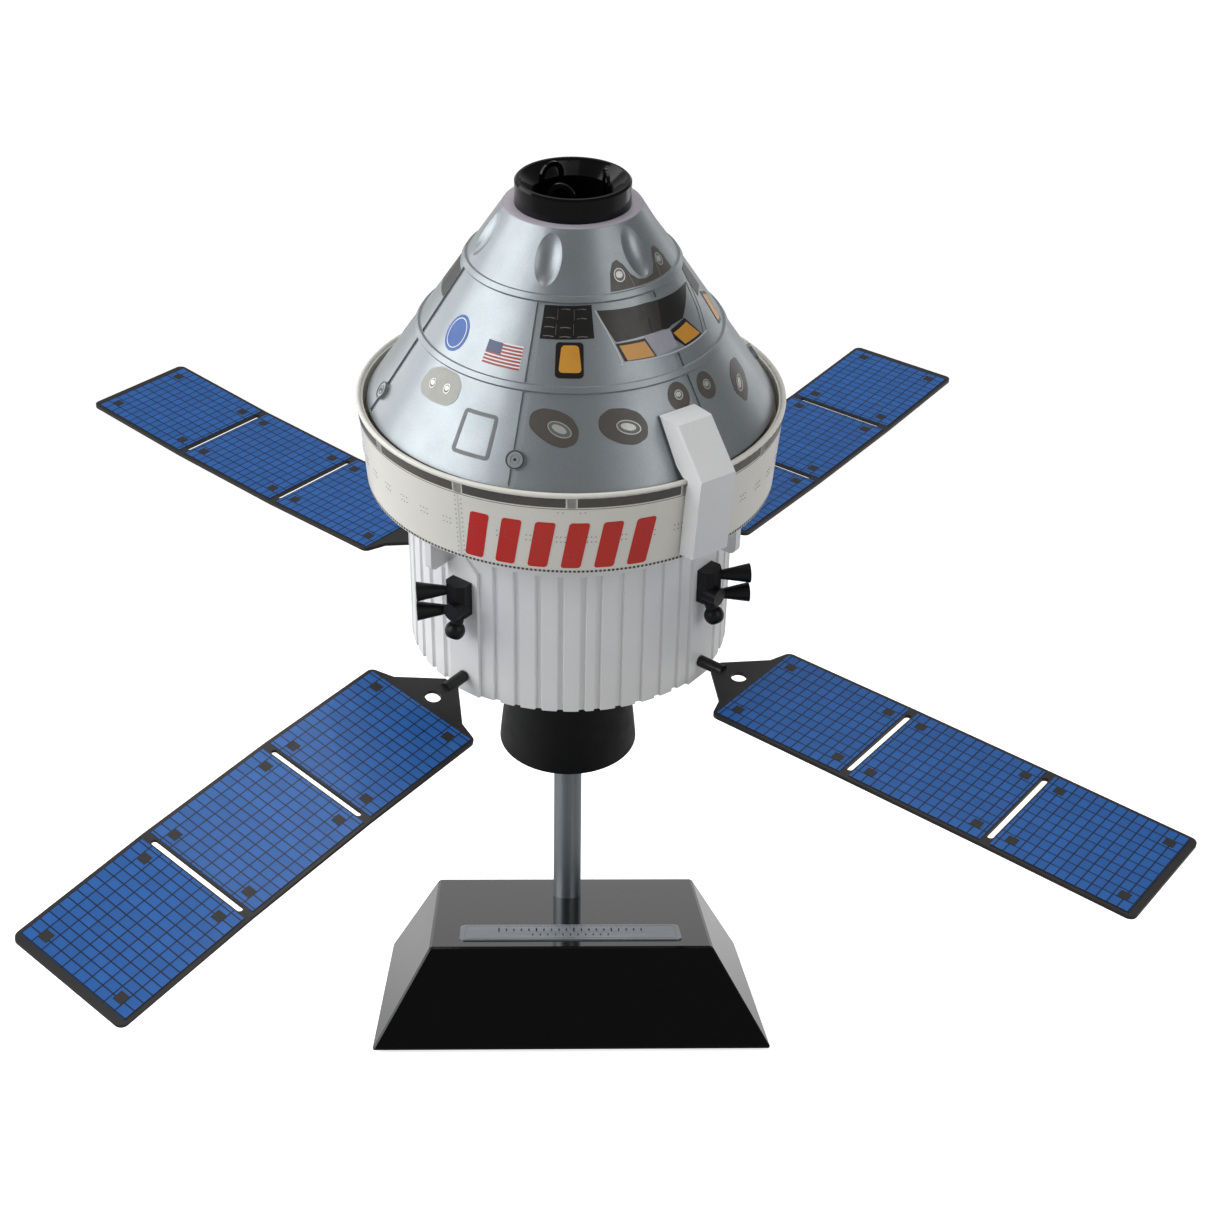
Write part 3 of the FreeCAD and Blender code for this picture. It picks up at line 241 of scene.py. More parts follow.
tree.links.new(tilt.outputs[0], shader.inputs["Normal"])
MATERIALS["capsule_silver"] = material

# Black ABS with a polished tool face: glossy, slightly soft edges in its reflections.
material, tree, shader, place = start("gloss_moulded_black_abs", IOR=1.3)
mottle(tree, shader, place, "0a0a0b", "070708", 6.0, rough=(0.12, 0.18), grain=1.2, depth=0.004)
MATERIALS["docking_black"] = material

# Black ABS, satin: small parts moulded in one frame and cut off.
material, tree, shader, place = start("satin_moulded_black_abs", IOR=1.35)
mottle(tree, shader, place, "0f1012", "0b0c0d", 3.0, rough=(0.34, 0.44), grain=0.3, depth=0.008)
MATERIALS["pod_black"] = material

# Steel pin with black oxide and oil: nearly black, with a low metal sheen.
material, tree, shader, place = start("black_oxide_steel", Metallic=0.35)
mottle(tree, shader, place, "1e1e20", "131314", 1.5, rough=(0.32, 0.42), grain=0.2, depth=0.004)
MATERIALS["pin_metal"] = material

# Dark brown styrene sheet, die cut and printed: satin, with a faint grain.
material, tree, shader, place = start("printed_dark_styrene_sheet", IOR=1.5)
mottle(tree, shader, place, "231f20", "1c191a", 6.0, rough=(0.36, 0.44), grain=0.3, depth=0.006)
MATERIALS["array_plate"] = material

# Painted highlight: even satin lilac-grey on the flat head, in place of the silver's reflection
# from above.
material, tree, shader, place = start("lilac_grey_painted_highlight", IOR=1.45)
mottle(tree, shader, place, "c6bfc9", "bdb6c0", 6.0, rough=(0.36, 0.44), grain=0.3, depth=0.004)
HEAD_PAINTED_HIGHLIGHT = material

for node_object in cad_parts.values():
    for body_slot in node_object.material_slots:
        given = body_slot.material.name.split(".")[0]
        if given in MATERIALS:
            body_slot.material = MATERIALS[given]

# Solar cells: blue foil under a clear gloss film, printed with a dark grid. Each cell is 2.69 by
# 3.39 mm, ten rows across and thirteen along, with a sliver of a cell at both ends of an area;
# cells differ by a few percent in shade.
CELL_PITCH_ALONG = 2.69
CELL_PITCH_ACROSS = 3.39
# half the width of a printed line, and the shares of it where its edge starts and ends to fade
HALF_GRID_LINE = 0.17
LINE_FADE = (0.7, 1.3)
FIRST_GRID_LINE = 61.9
SECOND_GRID_SHIFT = 39.45
THIRD_GRID_SHIFT = 39.3


def cell_material(name):
    """Blue foil of one array, with the grid in the array's own frame."""
    material, tree, shader, place = start(
        "printed_blue_cell_foil_" + name,
        IOR=1.4, Roughness=0.34, Metallic=0.1, Coat_Weight=0.15, Coat_Roughness=0.1,
    )
    spot, turn = array_matrix(name).decompose()[:2]
    in_frame = {
        "Vector": place,
        "Location": [v * MM for v in spot],
        "Rotation": turn.to_euler("XYZ"),
        "Scale": (MM, MM, MM),
    }
    local = add(tree, "ShaderNodeMapping", in_frame, vector_type="TEXTURE").outputs[0]
    axes = add(tree, "ShaderNodeSeparateXYZ", {0: local}).outputs
    lines = []
    steps = []
    # the grid starts afresh at each area's inner end
    first = add(tree, "ShaderNodeMath", {0: axes[0], 1: PLATE_BENDS[1]},
                operation="GREATER_THAN").outputs[0]
    second = add(tree, "ShaderNodeMath", {0: axes[0], 1: PLATE_BENDS[2]},
                 operation="GREATER_THAN").outputs[0]
    shift = add(tree, "ShaderNodeMath", {0: first, 1: -SECOND_GRID_SHIFT, 2: -FIRST_GRID_LINE},
                operation="MULTIPLY_ADD").outputs[0]
    shift = add(tree, "ShaderNodeMath", {0: second, 1: -THIRD_GRID_SHIFT, 2: shift},
                operation="MULTIPLY_ADD").outputs[0]
    along = add(tree, "ShaderNodeMath", {0: axes[0], 1: shift}, operation="ADD").outputs[0]
    for value, pitch in ((along, CELL_PITCH_ALONG), (axes[1], CELL_PITCH_ACROSS)):
        cells = add(tree, "ShaderNodeMath", {0: value, 1: 1 / pitch},
                    operation="MULTIPLY").outputs[0]
        steps.append(add(tree, "ShaderNodeMath", {0: cells}, operation="FLOOR").outputs[0])
        folded = add(tree, "ShaderNodeMath", {0: cells, 1: 0.5}, operation="PINGPONG").outputs[0]
        dark, clear = [share * HALF_GRID_LINE / pitch for share in LINE_FADE]
        edge = add(tree, "ShaderNodeMapRange", {0: folded, 1: dark, 2: clear, 3: 1.0, 4: 0.0})
        lines.append(edge.outputs[0])
    grid = add(tree, "ShaderNodeMath", {0: lines[0], 1: lines[1]}, operation="MAXIMUM").outputs[0]
    which = add(tree, "ShaderNodeCombineXYZ", {0: steps[0], 1: steps[1]}).outputs[0]
    chance = add(tree, "ShaderNodeTexWhiteNoise", {"Vector": which}, noise_dimensions="3D")
    blue = add(tree, "ShaderNodeMix",
               {0: chance.outputs["Value"], 6: linear("2666b4"), 7: linear("215ea8")},
               data_type="RGBA")
    colour = add(tree, "ShaderNodeMix", {0: grid, 6: blue.outputs[2], 7: linear("101b30")},
                 data_type="RGBA")
    tree.links.new(colour.outputs[2], shader.inputs["Base Color"])
    press = add(tree, "ShaderNodeBump", {"Strength": 0.5, "Distance": 0.01 * MM, "Height": grid},
                invert=True)
    tree.links.new(press.outputs[0], shader.inputs["Normal"])
    return material


for array_name in ARRAYS:
    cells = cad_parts["solar_cells_" + array_name]
    cells.material_slots[0].material = cell_material(array_name)


def ink(name, light, dark, rough=0.3, patch=2.0, **constants):
    """Screen printed film: even ink with a slight cloud, under a semi gloss varnish."""
    material, tree, shader, place = start(name, IOR=1.48, **constants)
    mottle(tree, shader, place, light, dark, patch, rough=(rough, rough + 0.08), grain=0.25,
           depth=0.003)
    return material


INK_CHARCOAL = ink("screen_ink_charcoal", "5b5651", "4c4844")
INK_BLACK = ink("screen_ink_black", "1b1917", "121110")
INK_SLATE = ink("screen_ink_slate", "37322e", "2c2824")
INK_LINE = ink("screen_ink_fine_grey", "6f7374", "5f6364")
INK_PALE = ink("screen_ink_pale_silver", "c9ccd2", "b9bdc4")
INK_LAVENDER = ink("screen_ink_lavender_grey", "a7a7b2", "9798a4")
INK_RED = ink("screen_ink_red", "d03227", "c12c22", patch=5.0)
INK_DEEP_RED = ink("screen_ink_deep_red", "a94440", "9a3b38", patch=3.0)
INK_NAVY = ink("screen_ink_navy", "4d5778", "434c6b")
INK_PLATE = ink("etched_plate_grey", "858b91", "7c8288")
INK_STONE = ink("screen_ink_stone_grey", "a9a8a1", "9b9a93")
INK_BLUE = ink("screen_ink_blue", "2d5fae", "24539f", patch=4.0)
INK_WHITE = ink("screen_ink_white", "ecedee", "e2e4e6")
INK_GREY = ink("screen_ink_warm_grey", "8b8781", "7d7973")
INK_LIGHT_GREY = ink("screen_ink_light_grey", "cac9c5", "bebdb9")
# Amber window film, orange at top into yellow on the real one: here the two clouded, with a glossy
# varnish.
INK_AMBER = ink("screen_ink_amber", "ca8636", "d59e3c", rough=0.18, patch=5.0)
# Hot stamped silver foil for the thruster mouths.
FOIL_SILVER = ink("hot_stamped_silver_foil", "d0d0ca", "b6b6b0", patch=0.8, Metallic=0.5)


# ================================================================ films on the craft
def wall_slope(wall):
    """Change of radius for each millimetre of height."""
    foot_radius, foot_height, head_radius, head_height = wall
    return (head_radius - foot_radius) / (head_height - foot_height)


def wall_radius(wall, height):
    """Radius of a straight wall at a height."""
    foot_radius, foot_height = wall[:2]
    return foot_radius + (height - foot_height) * wall_slope(wall)


def wall_length(wall):
    """Length along the slope for each millimetre of height."""
    return math.hypot(1, wall_slope(wall))


def unrolled(wall, home, place):
    """Flat millimetres, across and up the slope, of an (azimuth, height) place seen from home."""
    across = math.radians(place[0] - home[0]) * wall_radius(wall, home[1])
    return Vector((across, (place[1] - home[1]) * wall_length(wall), 0))


def wrap(wall, home):
    """Gives the function that bends flat millimetres round home on a wall of the craft."""
    slope = wall_slope(wall)
    length = wall_length(wall)
    home_radius = wall_radius(wall, home[1])

    def bend(point):
        angle = math.radians(home[0]) + point.x / home_radius
        radius = home_radius + (slope * point.y + point.z) / length
        height = home[1] + (point.y - slope * point.z) / length
        return Vector((radius * math.cos(angle), radius * math.sin(angle), height))

    return bend


def sheet_shape(corners=None, oval=None, corner=0.0, border=0.0):
    """Flat face with rounded corners, or an oval of (width, height, turn); or only its border."""
    shape = bmesh.new()
    if oval:
        width, height, turn = oval
        stretch = Matrix.Diagonal((width / 2, height / 2, 1, 1))
        turned = Matrix.Rotation(math.radians(turn), 4, "Z") @ stretch
        segments = 8 if width < TINY_OVAL else 32
        bmesh.ops.create_circle(shape, cap_ends=True, segments=segments, radius=1, matrix=turned)
    else:
        shape.faces.new([shape.verts.new(point) for point in corners])
    if corner:
        bmesh.ops.bevel(shape, geom=shape.verts[:], offset=corner, offset_type="OFFSET",
                        affect="VERTICES", segments=5, profile=0.5, material=-1)
    if border:
        inner = shape.faces[:]
        bmesh.ops.inset_region(shape, faces=inner, thickness=border, use_boundary=True,
                               use_even_offset=True)
        bmesh.ops.delete(shape, geom=inner, context="FACES")
    return shape


def thicken(shape, lift, sink):
    """Cuts a flat shape into narrow strips that can bend, and gives it its thickness."""
    low = min(v.co.x for v in shape.verts)
    high = max(v.co.x for v in shape.verts)
    for index in range(1, int((high - low) / FILM_STEP)):
        everything = shape.verts[:] + shape.edges[:] + shape.faces[:]
        bmesh.ops.bisect_plane(shape, geom=everything, dist=1e-5,
                               plane_co=(low + index * FILM_STEP, 0, 0), plane_no=(1, 0, 0))
    bmesh.ops.solidify(shape, geom=shape.faces[:], thickness=lift + sink)
    top = max(v.co.z for v in shape.verts)
    bmesh.ops.translate(shape, verts=shape.verts[:], vec=(0, 0, lift - top))
    bmesh.ops.recalc_face_normals(shape, faces=shape.faces[:])


def piece(name, shapes, material, body="craft", matrix=CRAFT):
    """Joins (bmesh, bend) pairs into one object on a body of the object."""
    mesh = bpy.data.meshes.new(name)
    whole = bmesh.new()
    for shape, bend in shapes:
        if bend:
            for vert in shape.verts:
                vert.co = bend(vert.co)
        part = bpy.data.meshes.new("part")
        shape.to_mesh(part)
        shape.free()
        whole.from_mesh(part)
        bpy.data.meshes.remove(part)
    bmesh.ops.transform(whole, matrix=Matrix.Scale(MM, 4) @ matrix, verts=whole.verts[:])
    whole.to_mesh(mesh)
    whole.free()
    mesh.shade_smooth()
    mesh.set_sharp_from_angle(angle=math.radians(35))
    made = bpy.data.objects.new(name, mesh)
    bpy.context.scene.collection.objects.link(made)
    mesh.materials.append(material)
    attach(made, body)


def film(name, wall, material, outlines=(), ovals=(), lift=FILM_LIFT, corner=0.0, border=0.0):
    """Printed film on a wall of the craft.

    An outline is a list of (azimuth, height) corners. An oval is (azimuth, height, width, height,
    turn). An outline's border is never wider than its corner radius.
    """
    shapes = []
    for outline in outlines:
        home = [sum(values) / len(outline) for values in zip(*outline)]
        corners = [unrolled(wall, home, place) for place in outline]
        shape = sheet_shape(corners, corner=corner, border=border)
        thicken(shape, lift, FILM_SINK)
        shapes.append((shape, wrap(wall, home)))
    for azimuth, height, *oval in ovals:
        shape = sheet_shape(oval=oval, border=border)
        thicken(shape, lift, FILM_SINK)
        shapes.append((shape, wrap(wall, (azimuth, height))))
    piece(name, shapes, material)


def stroke(wall, path, width):
    """Outline of a line of that width along (azimuth, height) places, with square ends."""
    home = path[0]
    length = wall_length(wall)
    home_radius = wall_radius(wall, home[1])
    flat = [unrolled(wall, home, p) for p in path]
    sides = []
    for index, point in enumerate(flat):
        before = flat[max(index - 1, 0)]
        after = flat[min(index + 1, len(flat) - 1)]
        along = (after - before).normalized()
        side = Vector((-along.y, along.x, 0)) * width / 2
        sides.append((point + side, point - side))
    loop = [s[0] for s in sides] + [s[1] for s in reversed(sides)]
    return [(home[0] + math.degrees(p.x / home_radius), home[1] + p.y / length) for p in loop]


def block(azimuths, heights):
    """Corners of an upright rectangle on a wall."""
    left, right = azimuths
    low, high = heights
    return [(left, low), (right, low), (right, high), (left, high)]


def half_turn(places):
    """The same places on the other side of the craft."""
    return [(place[0] + 180, *place[1:]) for place in places]


def both_sides(outlines):
    """Outlines, and the same ones half a turn round the craft."""
    return outlines + [half_turn(outline) for outline in outlines]


# Grid panel in the middle: black film with fine broken lines.
GRID = [(255.9, 139.5), (279.3, 139.8), (279.3, 146.4), (256.0, 146.2)]
film("grid_panel", CONE, INK_BLACK, [GRID])
grid_lines = []
for row, low in enumerate((140.1, 141.9, 143.7, 145.5)):
    for column, left in enumerate((257.2, 264.4, 271.9)):
        if (row + column) % 4 != 3:
            arc = [(left, low), (left + 2.4, low + 0.12), (left + 4.6, low)]
            grid_lines.append(stroke(CONE, arc, 0.16))
for left in (262.6, 270.4):
    grid_lines.append(stroke(CONE, [(left, 140.4), (left, 142.6)], 0.12))
    grid_lines.append(stroke(CONE, [(left + 0.3, 143.4), (left + 0.3, 145.6)], 0.12))
film("grid_panel_lines", CONE, INK_GREY, grid_lines, lift=0.1)

# Side window under it: black frame with an amber pane that narrows upwards.
film("side_window_frame", CONE, INK_BLACK, [
    [(263.5, 132.0), (274.2, 132.0), (274.6, 139.1), (263.0, 139.1)],
], corner=1.0)
film("side_window_pane", CONE, INK_AMBER, [
    [(264.7, 133.1), (273.5, 133.1), (272.6, 138.5), (265.4, 138.5)],
], lift=0.11, corner=0.9)

# Front windows: wide dark shade above two amber panes with black frames, a grey patch between.
SHADE_LEFT = [
    (288.4, 138.6), (295.5, 138.7), (302.7, 138.8), (311.6, 138.8), (315.7, 144.6),
    (308.2, 144.9), (299.5, 144.9), (290.2, 145.0), (281.6, 145.2),
]
SHADE_RIGHT = [
    (311.6, 138.8), (315.0, 138.5), (318.0, 138.9), (325.9, 139.0), (343.4, 144.0),
    (327.6, 144.3), (315.7, 144.6),
]
film("window_shade_left", CONE, INK_SLATE, [SHADE_LEFT])
film("window_shade_right", CONE, INK_BLACK, [SHADE_RIGHT])
film("window_shade_seam", CONE, INK_BLACK, [
    stroke(CONE, [(306.0, 139.0), (306.7, 141.9)], 0.22),
], lift=0.09)
film("front_window_frames", CONE, INK_BLACK, [
    [(290.6, 134.6), (304.7, 134.2), (301.9, 138.3), (288.2, 138.3)],
    [(320.0, 133.9), (332.9, 134.0), (326.9, 138.9), (316.1, 138.1), (315.8, 136.2)],
])
film("front_window_panes", CONE, INK_AMBER, [
    [(291.9, 134.7), (303.8, 134.4), (301.3, 137.7), (289.6, 137.8)],
    [(320.3, 134.3), (331.7, 134.4), (326.7, 138.0), (316.6, 137.3)],
], lift=0.11)
film("front_window_patch", CONE, INK_LAVENDER, [
    [(304.9, 134.2), (316.2, 134.6), (315.6, 138.5), (302.3, 138.7)],
])
film("front_window_outline", CONE, INK_PALE, [
    stroke(CONE, [(280.9, 145.2), (284.8, 141.5), (288.3, 137.0), (289.6, 134.2)], 0.3),
    stroke(CONE, [(288.7, 134.1), (296.0, 134.1), (303.2, 134.0), (311.8, 133.8), (320.2, 133.7),
                  (328.0, 133.7), (336.9, 133.8)], 0.28),
])
film("front_window_seams", CONE, INK_LINE, [
    stroke(CONE, [(344.0, 143.9), (340.0, 138.6), (334.3, 134.1)], 0.22),
    stroke(CONE, [(347.2, 143.0), (342.6, 138.3), (337.2, 133.9)], 0.16),
])

# Far window on the right flank, and a plain dark panel high up on both flanks.
film("flank_window_frame", CONE, INK_BLACK, [
    [(350.4, 131.7), (356.2, 131.4), (360.6, 137.6), (352.4, 139.8)],
], corner=0.6)
film("flank_window_pane", CONE, INK_AMBER, [
    [(351.4, 132.4), (355.8, 132.1), (359.3, 137.2), (353.2, 138.7)],
], lift=0.11, corner=0.5)
film("flank_panels", CONE, INK_BLACK, [
    [(171.0, 138.7), (191.8, 138.7), (191.3, 145.5), (171.0, 145.7)],
    [(347.4, 139.7), (352.0, 140.1), (358.0, 140.1), (357.5, 146.2), (348.8, 146.2),
     (347.0, 144.0)],
])

# Thruster patches near the top, one each side of a dimple, joined under it.
UPPER_PATCH = [
    (290.5, 148.5), (304.2, 148.5), (314.0, 148.5), (325.1, 148.5), (338.2, 148.5),
    (337.2, 151.4), (335.2, 153.4), (332.6, 154.4), (329.6, 154.2), (327.0, 153.0),
    (324.6, 151.4), (320.6, 149.8), (314.5, 149.4), (309.0, 149.8), (305.0, 151.2),
    (301.8, 153.4), (298.2, 154.6), (294.9, 154.1), (292.1, 152.1),
]
film("upper_thruster_patches", CONE, INK_CHARCOAL, both_sides([UPPER_PATCH]))
film("upper_thruster_lines", CONE, INK_PALE, [
    stroke(CONE, [(304.9, 148.6), (303.6, 151.3)], 0.12),
    stroke(CONE, [(325.2, 148.6), (326.8, 152.0)], 0.12),
], lift=0.09)

# Lower patches, drop shaped or round, with their thruster mouths: six round and three long ones.
LEFT_DROP = [
    (256.3, 122.2), (256.4, 124.8), (259.9, 126.0), (265.4, 125.7), (269.9, 124.4),
    (272.3, 121.9), (271.4, 119.2), (267.6, 118.2), (263.7, 118.8), (259.5, 120.4),
]
RIGHT_DROP = [
    (278.2, 121.9), (278.5, 124.3), (282.1, 125.8), (287.6, 125.6), (292.1, 124.3),
    (294.3, 121.8), (293.3, 119.1), (289.3, 118.0), (284.7, 118.6), (280.3, 120.2),
]
FLANK_DROP = [
    (333.6, 120.3), (335.6, 123.4), (340.5, 125.3), (345.9, 124.9), (346.2, 121.4),
    (342.5, 118.6), (336.4, 116.6),
]
TWIN_PATCH = [
    (210.8, 123.4), (212.6, 126.9), (218.0, 128.5), (226.0, 128.5), (229.5, 126.6),
    (229.6, 123.6), (226.6, 121.6), (220.0, 121.2), (213.6, 121.4),
]
ROUND_PATCHES = [(308.1, 125.3, 6.3, 7.2, 0), (321.4, 125.0, 6.1, 7.0, 0)]
THRUSTERS = [
    (297.6, 151.5, 2.9, 3.4, 0), (330.6, 151.6, 2.6, 3.3, 0), (216.9, 124.5, 2.2, 2.5, 0),
    (223.9, 124.9, 2.2, 2.5, 0), (308.2, 125.6, 2.5, 2.5, 0), (321.6, 125.1, 2.5, 2.6, 0),
    (266.1, 121.9, 6.2, 3.4, -24), (287.8, 121.7, 6.2, 3.4, -18), (338.5, 120.7, 5.0, 2.7, 36),
]
THRUSTERS += half_turn(THRUSTERS)
film("lower_thruster_patches", CONE, INK_CHARCOAL, both_sides([LEFT_DROP, RIGHT_DROP, FLANK_DROP]),
     corner=1.1)
film("twin_thruster_patches", CONE, INK_STONE, both_sides([TWIN_PATCH]), corner=1.1)
film("round_thruster_patches", CONE, INK_CHARCOAL, ovals=ROUND_PATCHES + half_turn(ROUND_PATCHES))
film("thruster_mouth_rims", CONE, FOIL_SILVER, ovals=THRUSTERS, lift=0.16, border=0.22)
mouths = []
glints = []
for azimuth, height, wide, tall, turn in THRUSTERS:
    mouths.append((azimuth, height, wide - 0.3, tall - 0.3, turn))
    glints.append((azimuth - 0.1, height + 0.1, 0.62 * wide, 0.5 * tall, turn))
film("thruster_mouths", CONE, INK_LINE, ovals=mouths, lift=0.11)
film("thruster_glints", CONE, FOIL_SILVER, ovals=glints, lift=0.14)

# Square hatch outline, slightly out of square.
HATCH = [(233.8, 113.9), (246.2, 113.9), (246.3, 123.1), (233.9, 123.1)]
film("hatch_outlines", CONE, INK_LINE, both_sides([HATCH]), corner=1.15, border=1.0)

# Plain round badge and plain striped patch.
film("badge_disc", CONE, INK_BLUE, ovals=[(216.3, 135.7, 7.5, 9.4, 0)])
film("badge_ring", CONE, INK_WHITE, ovals=[(216.3, 135.7, 6.1, 7.8, 0)], lift=0.1, border=0.22)
STRIPES = 7
STRIPE_SHARE = 0.58
PATCH_LOW = 132.6
PATCH_HIGH = 137.4
PATCH_STEP = (PATCH_HIGH - PATCH_LOW) / STRIPES
film("striped_patch_ground", CONE, INK_WHITE, [block((233.7, 249.8), (PATCH_LOW, PATCH_HIGH))])
stripes = []
for index in range(STRIPES):
    low = PATCH_LOW + PATCH_STEP * index
    stripes.append(block((233.8, 249.7), (low, low + PATCH_STEP * STRIPE_SHARE)))
film("striped_patch_bars", CONE, INK_DEEP_RED, stripes, lift=0.09)
film("striped_patch_corner", CONE, INK_NAVY, [block((233.8, 240.7), (135.0, 137.3))], lift=0.12)

# Flat head of the capsule: a film paler than the cone, a painted highlight for the light it
# reflects from above.
head_highlight = bmesh.new()
head_ends = [head_highlight.verts.new((radius, 0, CONE[3])) for radius in HEAD_HIGHLIGHT_RADII]
head_edge = head_highlight.edges.new(head_ends)
bmesh.ops.spin(head_highlight, geom=head_ends + [head_edge], cent=(0, 0, 0), axis=(0, 0, 1),
               angle=2 * math.pi, steps=96, use_merge=True)
bmesh.ops.solidify(head_highlight, geom=head_highlight.faces[:], thickness=FILM_LIFT)
head_foot = min(v.co.z for v in head_highlight.verts)
bmesh.ops.translate(head_highlight, verts=head_highlight.verts[:], vec=(0, 0, CONE[3] - head_foot))
bmesh.ops.recalc_face_normals(head_highlight, faces=head_highlight.faces[:])
piece("capsule_head_painted_highlight", [(head_highlight, None)], HEAD_PAINTED_HIGHLIGHT)

# Roundels on the bosses: dark ring, thin inner ring and a dot, each with its width and border.
BOSS_FILM = BOSS_PROUD + 0.12
ROUNDEL_PARTS = (
    ("boss_rings", INK_SLATE, 4.5, 0.3),
    ("boss_inner_rings", INK_GREY, 2.3, 0.14),
    ("boss_dots", INK_BLACK, 0.7, 0.0),
)
for name, material, width, border in ROUNDEL_PARTS:
    circles = [(azimuth, height, width, width, 0) for azimuth, height in BOSS_PLACES]
    film(name, CONE, material, ovals=circles, lift=BOSS_FILM, border=border)

# ================================================================ films on the band
# Dark stripe under the rim, broken by light tabs, with a fine line below it.
TAB_STEP = 30
TAB_AZIMUTHS = [240 + TAB_STEP * index for index in range(12)]
TAB_HALF = 1.1
STRIPE_MARGIN = TAB_HALF + 0.4
STRIPE_HEIGHTS = (106.9, 109.4)
stripe_halves = []
for azimuth in TAB_AZIMUTHS:
    middle = azimuth + TAB_STEP / 2
    stripe_halves.append(block((azimuth + STRIPE_MARGIN, middle), STRIPE_HEIGHTS))
    stripe_halves.append(block((middle, azimuth + TAB_STEP - STRIPE_MARGIN), STRIPE_HEIGHTS))
film("band_stripe", BAND, INK_CHARCOAL, stripe_halves)
film("band_tabs", BAND, INK_LIGHT_GREY, [
    block((azimuth - TAB_HALF, azimuth + TAB_HALF), (106.7, 109.4)) for azimuth in TAB_AZIMUTHS
])
film("band_upper_line", BAND, INK_LINE, [
    block((azimuth, azimuth + TAB_STEP), (106.35, 106.47)) for azimuth in TAB_AZIMUTHS
])

# Three sheet seams with a zigzag of rivets, clusters of six all round, and a few near the seams.
SEAM_AZIMUTHS = TAB_AZIMUTHS[::4]
SEAM_RIVETS = 13
SEAM_RIVET_STEP = 1.35
CLUSTERS = 46
CLUSTER_START = 220.4
CLUSTER_HEIGHT = 97.6
RIVET = 0.26
film("band_seams", BAND, INK_PALE, [
    stroke(BAND, [(azimuth, 88.6), (azimuth, 106.2)], 0.1) for azimuth in SEAM_AZIMUTHS
])
rivets = []
for azimuth in SEAM_AZIMUTHS:
    for index in range(SEAM_RIVETS):
        rivets.append((azimuth - 0.9, 89.4 + SEAM_RIVET_STEP * index))
        rivets.append((azimuth + 0.9, 88.8 + SEAM_RIVET_STEP * index))
for index in range(CLUSTERS):
    middle = CLUSTER_START + 360 / CLUSTERS * index
    for across in (-1.1, 0, 1.1):
        rivets.append((middle + across, CLUSTER_HEIGHT - 0.7))
        rivets.append((middle + across, CLUSTER_HEIGHT + 0.7))
for azimuth in TAB_AZIMUTHS[1::4]:
    rivets += [(azimuth + across, 105.4) for across in (-3.4, -2.2, 2.2, 3.4)]
    rivets += [(azimuth + across, height) for height in (91.6, 93.4) for across in (-0.8, 0.8)]
dots = [(azimuth, height, RIVET, RIVET, 0) for azimuth, height in rivets]
film("band_rivets", BAND, INK_LINE, ovals=dots, lift=0.1)

# Row of plain slanted bars.
BAR_COUNT = 6
BAR_START = 241.1
BAR_LOW = 89.2
BAR_HIGH = 102.4
BAR_WIDTH = 5.2
BAR_STEP = 8.7
BAR_LEAN = 2.4
bars = []
for index in range(BAR_COUNT):
    left = BAR_START + BAR_STEP * index
    right = left + BAR_WIDTH
    bars.append([(left, BAR_LOW), (right, BAR_LOW),
                 (right + BAR_LEAN, BAR_HIGH), (left + BAR_LEAN, BAR_HIGH)])
film("band_slanted_bars", BAND, INK_RED, bars, lift=0.07, corner=0.8)

# Dashed line along the foot of the band.
DASHES = 318
DASH_STEP = 360 / DASHES
DASH_SHARE = 0.6
film("band_foot_dashes", BAND, INK_CHARCOAL, [
    block((DASH_STEP * index, DASH_STEP * (index + DASH_SHARE)), (87.85, 88.45))
    for index in range(DASHES)
])

# ================================================================ stand and arrays
LEVEL_SINK = 0.03
PLATE_FILM_LIFT = 0.05
PLATE_MARGIN = 1.2


def level_shapes(rectangles, centre, lift, bend=None, corner=0.0, border=0.0):
    """Films on a flat face: rectangles of (x, y, width, height) about a centre."""
    shapes = []
    for x, y, wide, tall in rectangles:
        corners = [(x + across * wide / 2, y + up * tall / 2, 0)
                   for across, up in ((-1, -1), (1, -1), (1, 1), (-1, 1))]
        shape = sheet_shape(corners, corner=corner, border=border)
        thicken(shape, lift, LEVEL_SINK)
        bmesh.ops.translate(shape, verts=shape.verts[:], vec=centre)
        shapes.append((shape, bend))
    return shapes


# Nameplate: a thin border and two rows of tick marks, every fifth of the upper ones longer.
plate_low, plate_high = [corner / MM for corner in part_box("nameplate")]
plate_size = plate_high - plate_low
plate_top = plate_low + plate_size / 2
plate_top.z = plate_high.z
edge = (0, 0, plate_size.x - 2 * PLATE_MARGIN, plate_size.y - 2 * PLATE_MARGIN)
border_shapes = level_shapes([edge], plate_top, PLATE_FILM_LIFT, corner=0.9, border=0.25)
piece("nameplate_border", border_shapes, INK_PLATE, "stand", Matrix.Identity(4))
ticks = [(-19 + 2 * index, 2.0, 0.3, 2.0 if index % 5 else 3.2) for index in range(20)]
ticks += [(-10 + 2 * index, -2.6, 0.3, 1.3) for index in range(11)]
tick_shapes = level_shapes(ticks, plate_top, PLATE_FILM_LIFT)
piece("nameplate_ticks", tick_shapes, INK_PLATE, "stand", Matrix.Identity(4))


def plate_rise(rise, along):
    """Height of a bent plate at a distance along it; it is straight between its bends."""
    rises = [rise * ((bend - PLATE_BENDS[0]) / 100) ** 2 for bend in PLATE_BENDS]
    panel = sum(along > bend for bend in PLATE_BENDS[1:3])
    share = (along - PLATE_BENDS[panel]) / (PLATE_BENDS[panel + 1] - PLATE_BENDS[panel])
    return rises[panel] + share * (rises[panel + 1] - rises[panel])


def follow_plate(rise):
    """Gives the function that lays a point on a bent plate."""
    return lambda point: point + Vector((0, 0, plate_rise(rise, point.x)))


